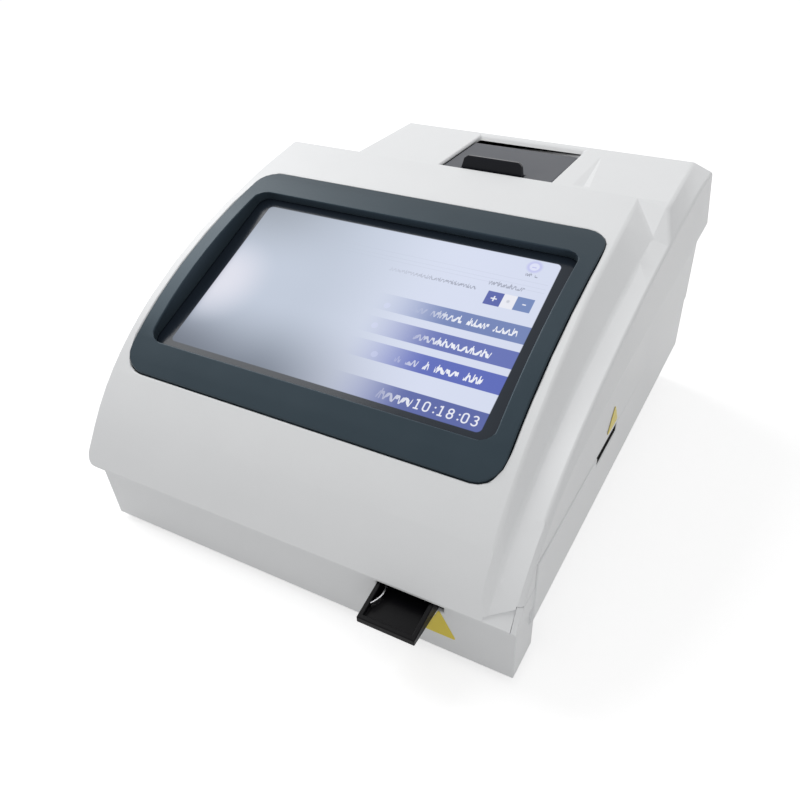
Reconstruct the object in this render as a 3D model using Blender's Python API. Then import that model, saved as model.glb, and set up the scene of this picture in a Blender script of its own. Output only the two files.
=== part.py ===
"""Desktop immunofluorescence analyzer: moulded case, tilted touch screen, cassette tray,
receipt printer on the rear hump, and the works inside. Metres, +Z up."""
import math

import bmesh
import bpy
from mathutils import Matrix, Vector

for leftover in list(bpy.data.objects):
    bpy.data.objects.remove(leftover, do_unlink=True)

# Fits and overruns
GAP = 0.0003
CUT_OVER = 0.004
WELD = 0.00001
JOIN = 0.0006

# Case, measured from the middle of the front band, its front face and the underside
BAND_WIDTH = 0.230
BAND_DEPTH = 0.0218
BAND_FLARE = 0.0043
CASE_DEPTH = 0.2717
HUMP_DEPTH = 0.068
HUMP_HEIGHT = 0.142
WALL = 0.0025
FLOOR = 0.003
LIP_HEIGHT = 0.033
LIP_EDGE = 0.001
LIP_OVERHANG = 0.004
SEAM_HEIGHT = 0.0575
CHEEK_DEPTH = 0.015
UNDERCUT_IN = 0.012
UNDERCUT_RISE = 0.023
BASE_LEFT = 0.1237
BASE_RIGHT = 0.1168
CHEEK_X = 0.1134
CHEEK_TOP = 0.0437
SCOOP_LEFT = 0.1008
SCOOP_LOW = 0.0357
SCOOP_HIGH = 0.0450
SCOOP_DEPTH_LEFT = 0.0008
SCOOP_DEPTH_RIGHT = 0.0028
LIP_CORNER = 0.006
LEDGE_DEPTH = 0.0045
LEDGE_THICK = 0.002

# Upper case: the front is one cubic curve from the lip to the brow of the hump
COVER_LEFT = 0.1247
BROW_DEPTH = CASE_DEPTH - HUMP_DEPTH
FRONT_RUN = BROW_DEPTH + LIP_OVERHANG
FOOT_RUN_SHARE = 0.136254
BROW_RUN_SHARE = 0.487241
CURVE_FOOT_RUN = FRONT_RUN * FOOT_RUN_SHARE
CURVE_FOOT_RISE = 0.0621
CURVE_BROW_RUN = FRONT_RUN * BROW_RUN_SHARE
CURVE_BROW_DROP = 0.0134
CURVE_STEPS = 20
WING_TIP_SHARE = 0.915
WING_APEX_SHARE = 0.985
SHIELD_FRONT = 0.0984
SHIELD_REAR = 0.0938
VALLEY_FRONT = 0.1027
VALLEY_REAR = 0.110
RIDGE_FRONT = 0.113
RIDGE_REAR = 0.1183
BAND_EDGE_FRONT = 0.1145
BAND_EDGE_REAR = 0.1211
SIDE_FRONT = 0.1158
SIDE_REAR = 0.1174
VALLEY_DROP = 0.009
RIDGE_DROP = 0.009
BAND_EDGE_DROP = 0.042
SIDE_STEP = 0.014
NOTCH_X = 0.078
NOTCH_SETBACK = 0.0021
NOTCH_Y = BROW_DEPTH + NOTCH_SETBACK
NOTCH_FLOOR = 0.104
DENT_LEFT = 0.0563
DENT_WIDTH = 0.0096
DENT_SETBACK = 0.0033
DENT_FROM_REAR = 0.0177
DENT_FRONT = BROW_DEPTH + DENT_SETBACK
DENT_REAR = CASE_DEPTH - DENT_FROM_REAR
DENT_DEPTH = 0.0009
DENT_END_SHARE = 0.15
DENT_VALLEY_SHARE = 0.6

# Screen: the glass plane leans back behind the curved slate frame
SCREEN_LEAN = math.radians(0.45972)
SCREEN_SINK = 0.0098
SCREEN_SHIFT = 0.0135
SCREEN_CURVE_SHARE = 0.5915
FRAME_WIDTH = 0.2100
FRAME_BOTTOM_SHARE = 0.332572
FRAME_TOP_SHARE = 0.338375
FRAME_CORNER = 0.0125
FRAME_PROUD = 0.0008
FRAME_SKIN = 0.003
FRAME_DEEP = 0.014
FRAME_FIT = 0.0004
RING_SIDE = 0.00875
RING_BOTTOM = 0.017
RING_TOP = 0.0196
WINDOW_CORNER = 0.0068
GLASS_MARGIN = 0.0025
GLASS_THICK = 0.002
SEAT_WIDTH = 0.0022
PANEL_SIDE_INSET = 0.00325
PANEL_END_INSET = 0.00185
PANEL_THICK = 0.005
BRACKET_THICK = 0.0015
ARC_STEPS = 5

# Cassette tray and its drive
TRAY_X = 0.0645
TRAY_WIDTH = 0.028
TRAY_OUT = 0.0217
TRAY_REAR = 0.100
TRAY_HEIGHT = 0.0075
TRAY_WALL = 0.0022
TRAY_FLOOR = 0.002
TRAY_LIP = 0.0031
TRAY_WELL_END = 0.078
SLOT_SIDE = 0.0027
SLOT_UNDER = 0.0005
GUIDE_SIDE = 0.0045
GUIDE_PLATE = 0.0024
GUIDE_START = 0.004
GUIDE_END = 0.165
GUIDE_RIB_LOW = 0.002
GUIDE_RIB_HIGH = 0.006
GUIDE_LEG = 0.005
GUIDE_LEG_INSET = 0.012
GEAR_MODULE = 0.001
PRESSURE_ANGLE = math.radians(20)
GEAR_ROOT_SHARE = 1.2
GEAR_THIN_SHARE = 0.84
GEAR_REACH_SHARE = 0.86
RACK_ROOT_SHARE = 1.25
RACK_TIP_SHARE = 0.8
RACK_TOOTH_SHARE = 0.42
RACK_FREE_SHARE = 2.25
TRAY_PINION_TEETH = 12
RACK_TEETH = 25
RACK_TEETH_AHEAD = 20
RACK_BACK = 0.0018
RACK_RISE = 0.0024
RACK_HEIGHT = 0.004
PINION_Y = 0.084
PINION_THICK = 0.0034
SHAFT_RADIUS = 0.0012
SHAFT_CLEAR = 0.0003
MOTOR_SIZE = 0.026
MOTOR_SHAFT_DEPTH = 0.006
CLIP_LENGTH = 0.014
CLIP_THICK = 0.0006
CLIP_HEIGHT = 0.0032
CLIP_BOW = 0.0022
CLIP_STEPS = 8

# Reader over the tray
OPTIC_Y = 0.117
OPTIC_LENGTH = 0.030
OPTIC_LEG = 0.003
OPTIC_PLATE = 0.0025
OPTIC_CLEAR = 0.0036
HOUSING_WIDTH = 0.030
HOUSING_LENGTH = 0.028
HOUSING_HEIGHT = 0.030
LENS_RADIUS = 0.006
LENS_LENGTH = 0.0045
DETECTOR_MARGIN = 0.003
BOARD_THICK = 0.0016

# Printer in the hump
PRINTER_X = 0.0105
WELL_WIDTH = 0.068
WELL_SETBACK = 0.0028
WELL_FROM_REAR = 0.0057
WELL_FRONT = BROW_DEPTH + WELL_SETBACK
WELL_REAR = CASE_DEPTH - WELL_FROM_REAR
WELL_SLOPE_RUN = 0.0085
WELL_SLOPE_DEPTH = 0.009
WELL_WALL = 0.003
DOOR_SIDE_GAP = 0.0009
DOOR_SINK = 0.0014
DOOR_THICK = 0.0032
DOOR_END_INSET = 0.011
DOOR_END = WELL_REAR - DOOR_END_INSET
DOOR_SWING = 0.006
HINGE_INSET = 0.0135
HINGE_Y = WELL_REAR - HINGE_INSET
HINGE_DROP = 0.0055
PIN_RADIUS = 0.0015
KNUCKLE_RADIUS = 0.003
KNUCKLE_WIDTH = 0.012
PIN_EAR = 0.0022
TUB_WALL = 0.002
TUB_SIDE = 0.0045
TUB_FRONT = 0.0035
TUB_DEPTH = 0.041
ROLL_RADIUS = 0.015
ROLL_WIDTH = 0.057
ROLL_CORE = 0.006
ROLL_SHIFT = 0.002
PLATEN_RADIUS = 0.0048
PLATEN_LENGTH = 0.056
PLATEN_SHAFT = 0.0015
PLATEN_SETBACK = 0.0074
PLATEN_DROP = 0.0057
DOOR_EAR = 0.002
PLATEN_TEETH = 15
PRINTER_PINION_TEETH = 10
PRINTER_MODULE = 0.0008
PRINTER_GEAR_WIDTH = 0.0032
PRINTER_MOTOR_RADIUS = 0.0075
PRINTER_MOTOR_LENGTH = 0.012
HEAD_HEIGHT = 0.012
HEAD_DEPTH = 0.009
LATCH_WIDTH = 0.0375
LATCH_X_SHIFT = 0.003
LATCH_TOP_WIDTH = 0.031
LATCH_HEIGHT = 0.009
LATCH_THICK = 0.003
LATCH_LEAN = math.radians(10)
LATCH_SETBACK = 0.0030
LATCH_PIN_RADIUS = 0.0007
LATCH_PIN_REACH = 0.003
LATCH_SWEEP = 0.0035

# Boards, rear sockets and switch
BOARD_REACH_LEFT = 0.101
BOARD_REACH_RIGHT = 0.008
BOARD_LENGTH = 0.0905
BOARD_FROM_REAR = 0.0132
BOARD_LEFT = -BOARD_REACH_LEFT
BOARD_RIGHT = -BOARD_REACH_RIGHT
BOARD_REAR = CASE_DEPTH - BOARD_FROM_REAR
BOARD_FRONT = BOARD_REAR - BOARD_LENGTH
BOARD_HEIGHT = 0.009
POWER_RIGHT = 0.012
POWER_FRONT = 0.045
POWER_CLEAR = 0.018
POWER_REAR = BOARD_FRONT - POWER_CLEAR
POST_RADIUS = 0.003
POST_INSET = 0.005
SCREW_RADIUS = 0.0015
SCREW_HEAD_RADIUS = 0.0027
SCREW_HEAD_HEIGHT = 0.002
SCREW_CLEAR = 0.0003
CHIP_HEIGHT = 0.003
REAR_PLATE = 0.0016
INLET_X = 0.088
INLET_Z = 0.032
INLET_WIDTH = 0.027
INLET_HEIGHT = 0.0198
INLET_DEPTH = 0.020
INLET_FLANGE = 0.003
INLET_WALL = 0.0016
BLADE_WIDTH = 0.004
BLADE_THICK = 0.002
BLADE_LENGTH = 0.013
BLADE_PITCH = 0.007
BLADE_STEP = 0.004
SWITCH_X = 0.052
SWITCH_WIDTH = 0.0127
SWITCH_HEIGHT = 0.019
SWITCH_DEPTH = 0.012
SWITCH_WALL = 0.0016
SWITCH_FLANGE = 0.0015
ROCKER_PROUD = 0.0024
ROCKER_DEPTH = 0.006
ROCKER_TILT = math.radians(9)
USB_WIDTH = 0.0132
USB_HEIGHT = 0.0058
USB_SHARES = (0.82, 0.62)
LAN_SHARE = 0.38
LAN_WIDTH = 0.016
LAN_HEIGHT = 0.0135
SERIAL_SHARE = 0.14
SERIAL_WIDTH = 0.017
SERIAL_HEIGHT = 0.0085
PORT_DEPTH = 0.014
PORT_WALL = 0.0007
PORT_PROUD = 0.0006
PORT_FIT = 0.0004
VENT_COUNT = 9
VENT_WIDTH = 0.0024
VENT_HEIGHT = 0.014
VENT_PITCH = 0.007
VENT_Z = 0.043

# Card slot in the right side
CARD_Y = 0.1080
CARD_SLOT_LENGTH = 0.0320
CARD_SLOT_HEIGHT = 0.0056
CARD_DEPTH = 0.018
CARD_WALL = 0.0022
CARD_RIM = 0.0013
CARD_FACE_SETBACK = 0.0004

# Feet and case screws
FOOT_RADIUS = 0.007
FOOT_DROP = 0.003
FOOT_POCKET = 0.002
FOOT_FRONT_Y = 0.013
FOOT_FROM_REAR = 0.0167
FOOT_REAR_Y = CASE_DEPTH - FOOT_FROM_REAR
FOOT_INSET = 0.020
BOSS_RADIUS = 0.0045
BOSS_BORE = 0.0032
BOSS_SHELF = 0.007
BOSS_FRONT_Y = 0.024
BOSS_FROM_REAR = 0.0337
BOSS_REAR_Y = CASE_DEPTH - BOSS_FROM_REAR
BOSS_INSET = 0.005
CASE_SCREW_REACH = 0.008

ROUND = 16
FINE_ROUND = 24
ROUNDED = math.radians(35)
SOFT_FACETS = math.radians(13)

SEAM_TOP = SEAM_HEIGHT - GAP
BAND_HALF = BAND_WIDTH / 2
# Shares along the front curve: (place on the curve, share of the named size)
SHIELD_X_SHARES = ((0, 0), (0.45, 0.15), (0.6, 0.35), (0.7, 0.6), (0.85, 0.7), (1, 1))
VALLEY_X_SHARES = ((0, 0), (0.2, 0.02), (0.4, 0.14), (0.5, 0.27), (0.63, 0.5), (0.75, 0.63),
                   (WING_TIP_SHARE, 0.75), (WING_APEX_SHARE, 1), (1, 1))
VALLEY_SHARES = ((0, 0), (0.09, 0.3), (0.2, 0.6), (0.3, 0.8), (0.45, 1), (0.8, 1), (WING_TIP_SHARE, 0.72),
                 (WING_APEX_SHARE, 0.05), (1, 0))
RIDGE_SHARES = ((0, 0), (0.17, 0.28), (0.37, 0.6), (0.5, 0.85), (0.7, 1), (0.85, 1), (1, 0.88))
EDGE_SHARES = ((0, 0), (0.1, 0.07), (0.3, 0.17), (0.5, 0.42), (0.7, 0.68), (0.93, 1), (1, 1))
STEP_SHARES = ((0, 0), (0.1, 0.1), (0.4, 0.25), (0.7, 0.45), (1, 0.85))
VALLEY_REAR_SHARE = 0.6
RIDGE_REAR_SHARE = 0.5
EDGE_REAR_SHARE = 0.82
VALLEY_MIDDLE_SHARE = 0.8
EDGE_MIDDLE_SHARE = 0.91
# Lumps on the boards: place across and along, width and depth, height in chip heights
MAIN_BOARD_SHARES = ((0.30, 0.30, 0.22, 0.22, 1), (0.65, 0.35, 0.16, 0.12, 0.8), (0.5, 0.12, 0.5, 0.06, 1.2))
POWER_BOARD_SHARES = ((0.35, 0.45, 0.26, 0.26, 6.5), (0.72, 0.3, 0.12, 0.16, 5), (0.7, 0.7, 0.2, 0.2, 4))

parts = bpy.data.collections.new("immunofluorescence_analyzer")
cutters = bpy.data.collections.new("cutters")
bpy.context.scene.collection.children.link(parts)
bpy.context.scene.collection.children.link(cutters)
origin = bpy.data.objects.new("origin", None)
parts.objects.link(origin)


def material(name, colour, roughness, metallic=0.0):
    """A plain Principled finish in one colour."""
    made = bpy.data.materials.new(name)
    made.use_nodes = True
    shader = made.node_tree.nodes["Principled BSDF"]
    shader.inputs["Base Color"].default_value = (*colour, 1)
    shader.inputs["Roughness"].default_value = roughness
    shader.inputs["Metallic"].default_value = metallic
    return made


WHITE = material("case_white", (0.79, 0.80, 0.80), 0.45)
SLATE = material("frame_slate", (0.09, 0.13, 0.15), 0.35)
GLASS = material("screen_glass", (0.02, 0.025, 0.03), 0.08)
BLACK = material("black_plastic", (0.012, 0.012, 0.014), 0.35)
GREY = material("door_grey", (0.13, 0.14, 0.15), 0.4)
BOARD = material("circuit_board", (0.02, 0.12, 0.06), 0.5)
STEEL = material("steel", (0.55, 0.56, 0.57), 0.3, 1.0)
RUBBER = material("rubber", (0.02, 0.02, 0.02), 0.8)
PAPER = material("paper", (0.85, 0.84, 0.80), 0.8)
NYLON = material("nylon", (0.70, 0.69, 0.65), 0.5)


def block(bm, x0, x1, y0, y1, z0, z1):
    """A box between two corners."""
    size = Matrix.Diagonal((x1 - x0, y1 - y0, z1 - z0, 1))
    middle = Matrix.Translation(((x0 + x1) / 2, (y0 + y1) / 2, (z0 + z1) / 2))
    bmesh.ops.create_cube(bm, size=1, matrix=middle @ size)


def rod(bm, start, axis, length, radius, sides=ROUND, far_radius=None):
    """A round bar that begins at a point and runs along an axis."""
    turn = Vector((0, 0, 1)).rotation_difference(Vector(axis)).to_matrix().to_4x4()
    middle = Matrix.Translation(Vector(start) + Vector(axis) * (length / 2))
    bmesh.ops.create_cone(
        bm, cap_ends=True, segments=sides, radius1=radius,
        radius2=radius if far_radius is None else far_radius, depth=length, matrix=middle @ turn)


def slab(bm, outlines, low, high, frame=Matrix.Identity(4)):
    """A flat plate cut to one or more outlines, between two heights of a frame."""
    curve = bpy.data.curves.new("outline", "CURVE")
    curve.dimensions = "2D"
    curve.fill_mode = "BOTH"
    curve.extrude = (high - low) / 2
    for outline in outlines:
        spline = curve.splines.new("POLY")
        spline.points.add(len(outline) - 1)
        for point, (a, b) in zip(spline.points, outline):
            point.co = (a, b, 0, 1)
        spline.use_cyclic_u = True
    holder = bpy.data.objects.new("outline", curve)
    bpy.context.scene.collection.objects.link(holder)
    bpy.context.view_layer.update()
    flat = bpy.data.meshes.new_from_object(
        holder.evaluated_get(bpy.context.evaluated_depsgraph_get()))
    bpy.data.objects.remove(holder)
    bpy.data.curves.remove(curve)
    flat.transform(frame @ Matrix.Translation((0, 0, (low + high) / 2)))
    piece = bmesh.new()
    piece.from_mesh(flat)
    bmesh.ops.remove_doubles(piece, verts=piece.verts, dist=WELD)
    bmesh.ops.recalc_face_normals(piece, faces=piece.faces)
    for face in piece.faces:
        face.smooth = False
    piece.to_mesh(flat)
    piece.free()
    bm.from_mesh(flat)
    bpy.data.meshes.remove(flat)


def loft(bm, sections):
    """Closed rings bridged one to the next, with both ends capped."""
    rings = [[bm.verts.new(point) for point in section] for section in sections]
    count = len(rings[0])
    for near, far in zip(rings, rings[1:]):
        for i in range(count):
            j = (i + 1) % count
            bm.faces.new((near[i], near[j], far[i]))
            bm.faces.new((near[j], far[j], far[i]))
    bm.faces.new(list(reversed(rings[0])))
    bm.faces.new(rings[-1])
    bmesh.ops.recalc_face_normals(bm, faces=bm.faces)


def finish(name, bm, collection):
    mesh = bpy.data.meshes.new(name)
    bm.to_mesh(mesh)
    bm.free()
    made = bpy.data.objects.new(name, mesh)
    made.parent = origin
    collection.objects.link(made)
    return made


def part(name, bm, finish_material, smooth=0):
    """A named sub-part with its own finish, shaded smooth below an angle."""
    made = finish(name, bm, parts)
    made.data.materials.append(finish_material)
    if smooth:
        made.data.shade_smooth()
        made.data.set_sharp_from_angle(angle=smooth)
    return made


def tool(name, bm):
    """A shape that only cuts or joins others."""
    made = finish(name, bm, cutters)
    made.hide_render = True
    made.display_type = "WIRE"
    return made


def combine(target, operation, *tools):
    for other in tools:
        modifier = target.modifiers.new(other.name, "BOOLEAN")
        modifier.operation = operation
        modifier.solver = "EXACT"
        modifier.object = other


def cut(target, *tools):
    combine(target, "DIFFERENCE", *tools)


def join(target, *tools):
    combine(target, "UNION", *tools)


def pivot(made, point):
    """Puts the origin of a moving piece on its joint axis."""
    made.data.transform(Matrix.Translation(-Vector(point)))
    made.location = point


def rounded(u0, u1, v0, v1, radius):
    """The outline of a rectangle with round corners, anticlockwise."""
    corners = ((u1, v0, -90), (u1, v1, 0), (u0, v1, 90), (u0, v0, 180))
    outline = []
    for u, v, begin in corners:
        cu = u - math.copysign(radius, u - (u0 + u1) / 2)
        cv = v - math.copysign(radius, v - (v0 + v1) / 2)
        for step in range(ARC_STEPS + 1):
            angle = math.radians(begin + 90 * step / ARC_STEPS)
            outline.append((cu + radius * math.cos(angle), cv + radius * math.sin(angle)))
    return outline


def gear_outline(teeth, module):
    """An involute gear with a tooth centred on the first axis, thinned for running clearance."""
    pitch_radius = teeth * module / 2
    base_radius = pitch_radius * math.cos(PRESSURE_ANGLE)
    tip = pitch_radius + module * GEAR_REACH_SHARE
    root = pitch_radius - module * GEAR_ROOT_SHARE
    radii = (max(root, 0), max(base_radius, root), (pitch_radius + base_radius) / 2, pitch_radius,
             (pitch_radius + tip) / 2, tip)
    pitch_roll = math.tan(PRESSURE_ANGLE) - PRESSURE_ANGLE

    def half_angle(radius):
        pressure = math.acos(min(1, base_radius / radius))
        return math.pi / (2 * teeth) * GEAR_THIN_SHARE + pitch_roll - (math.tan(pressure) - pressure)

    outline = []
    for tooth in range(teeth):
        centre = 2 * math.pi * tooth / teeth
        for radius in radii:
            angle = centre - half_angle(max(radius, base_radius))
            outline.append((radius * math.cos(angle), radius * math.sin(angle)))
        for radius in reversed(radii):
            angle = centre + half_angle(max(radius, base_radius))
            outline.append((radius * math.cos(angle), radius * math.sin(angle)))
    return outline


def share_at(table, place):
    """Reads a table of shares between its own places."""
    for (a, low), (b, high) in zip(table, table[1:]):
        if place <= b:
            return low + (high - low) * (place - a) / (b - a)
    return table[-1][1]


def mix(a, b, share):
    return a + (b - a) * share


# The front curve and the upper case that hangs on it
CURVE = (
    Vector((-LIP_OVERHANG, LIP_HEIGHT + LIP_EDGE)),
    Vector((-LIP_OVERHANG + CURVE_FOOT_RUN, LIP_HEIGHT + LIP_EDGE + CURVE_FOOT_RISE)),
    Vector((BROW_DEPTH - CURVE_BROW_RUN, HUMP_HEIGHT - CURVE_BROW_DROP)),
    Vector((BROW_DEPTH, HUMP_HEIGHT)),
)


def curve_heading(place):
    """The way the front curve runs at a place on it."""
    a, b, c, d = CURVE
    rest = 1 - place
    return ((b - a) * (rest * rest) + (c - b) * (2 * rest * place) + (d - c) * place ** 2).normalized()


def curve_point(place, raise_by=0.0):
    """A point of the front curve as depth and height, moved out along its normal."""
    a, b, c, d = CURVE
    rest = 1 - place
    point = a * rest ** 3 + b * (3 * rest * rest * place) + c * (3 * rest * place ** 2) + d * place ** 3
    along = curve_heading(place)
    return point + Vector((-along.y, along.x)) * raise_by


def case_section(place, inset, skirt):
    """One cross-section of the upper case, seen from the front, at a place on the curve."""
    y, z = curve_point(place, -inset)
    return flank_ring(y, z, place, share_at(VALLEY_X_SHARES, place), share_at(VALLEY_SHARES, place),
                      share_at(RIDGE_SHARES, place), share_at(EDGE_SHARES, place),
                      share_at(STEP_SHARES, place), inset, skirt)


def flank_ring(y, z, place, valley_x, valley, ridge, edge, step, inset, skirt):
    low = z - edge * BAND_EDGE_DROP
    side = mix(SIDE_FRONT, SIDE_REAR, place) - inset
    return [
        (-COVER_LEFT + inset, y, skirt),
        (-COVER_LEFT + inset, y, z),
        (mix(SHIELD_FRONT, SHIELD_REAR, share_at(SHIELD_X_SHARES, place)), y, z),
        (mix(VALLEY_FRONT, VALLEY_REAR, valley_x), y, z - valley * VALLEY_DROP),
        (mix(RIDGE_FRONT, RIDGE_REAR, place) - inset, y, z - ridge * RIDGE_DROP),
        (mix(BAND_EDGE_FRONT, BAND_EDGE_REAR, place) - inset, y, low),
        (side, y, low - step * SIDE_STEP),
        (side, y, skirt),
    ]


CURVE_PLACES = [i / CURVE_STEPS for i in range(CURVE_STEPS) if i / CURVE_STEPS < WING_TIP_SHARE]
CURVE_PLACES += [WING_TIP_SHARE, WING_APEX_SHARE, 1]


def case_loft(name, inset, skirt):
    """The solid under the upper case's skin, drawn in by a wall."""
    sections = [case_section(place, inset, skirt) for place in CURVE_PLACES]
    step = share_at(STEP_SHARES, 1)
    for y, valley_x, edge in (((BROW_DEPTH + CASE_DEPTH) / 2, VALLEY_MIDDLE_SHARE, EDGE_MIDDLE_SHARE),
                              (CASE_DEPTH - inset, VALLEY_REAR_SHARE, EDGE_REAR_SHARE)):
        sections.append(flank_ring(y, HUMP_HEIGHT - inset, 1, valley_x, 0, RIDGE_REAR_SHARE, edge, step,
                                   inset, skirt))
    bm = bmesh.new()
    loft(bm, sections)
    return bm


SCREEN_X = -SCREEN_SHIFT
SCREEN_CENTRE = curve_point(SCREEN_CURVE_SHARE)
SCREEN_HEADING = curve_heading(SCREEN_CURVE_SHARE)
SCREEN_TILT = math.atan2(SCREEN_HEADING.y, SCREEN_HEADING.x) + SCREEN_LEAN
FRAME_BOTTOM = FRONT_RUN * FRAME_BOTTOM_SHARE / math.cos(SCREEN_TILT)
FRAME_TOP = FRONT_RUN * FRAME_TOP_SHARE / math.cos(SCREEN_TILT)
WINDOW_WIDTH = FRAME_WIDTH - 2 * RING_SIDE
WINDOW_BOTTOM = FRAME_BOTTOM - RING_BOTTOM
WINDOW_TOP = FRAME_TOP - RING_TOP
PANEL_WIDTH = WINDOW_WIDTH - 2 * PANEL_SIDE_INSET
PANEL_HEIGHT = WINDOW_BOTTOM + WINDOW_TOP - 2 * PANEL_END_INSET
SCREEN = (
    Matrix.Translation((SCREEN_X, SCREEN_CENTRE.x, SCREEN_CENTRE.y))
    @ Matrix.Rotation(SCREEN_TILT, 4, "X")
    @ Matrix.Translation((0, 0, -SCREEN_SINK))
)
SIDEWAYS = Matrix(((0, 0, 1, 0), (1, 0, 0, 0), (0, 1, 0, 0), (0, 0, 0, 1)))
FACING = Matrix.Rotation(math.radians(90), 4, "X")


def screen_outline(width, bottom, top, grow, radius):
    return rounded(-width / 2 - grow, width / 2 + grow, -bottom - grow, top + grow, radius + grow)


def notch_tool(name, inside):
    bm = bmesh.new()
    block(bm, -COVER_LEFT - CUT_OVER, -NOTCH_X + inside, NOTCH_Y - inside, CASE_DEPTH + CUT_OVER,
          NOTCH_FLOOR - inside, HUMP_HEIGHT + CUT_OVER)
    return tool(name, bm)


def boss_places():
    inner = BOSS_INSET + UNDERCUT_IN
    return [(x, y) for y in (BOSS_FRONT_Y, BOSS_REAR_Y) for x in (-BASE_LEFT + inner, BASE_RIGHT - inner)]


def cheek_block(grow):
    """The front right corner of the lower case, beside the apron of the upper case."""
    bm = bmesh.new()
    block(bm, CHEEK_X - grow, BASE_RIGHT + CUT_OVER, -LIP_OVERHANG - CUT_OVER, CHEEK_DEPTH + JOIN,
          LIP_HEIGHT - JOIN - grow, CHEEK_TOP + grow)
    return bm


WELL_LEFT = PRINTER_X - WELL_WIDTH / 2
WELL_RIGHT = PRINTER_X + WELL_WIDTH / 2


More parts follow.
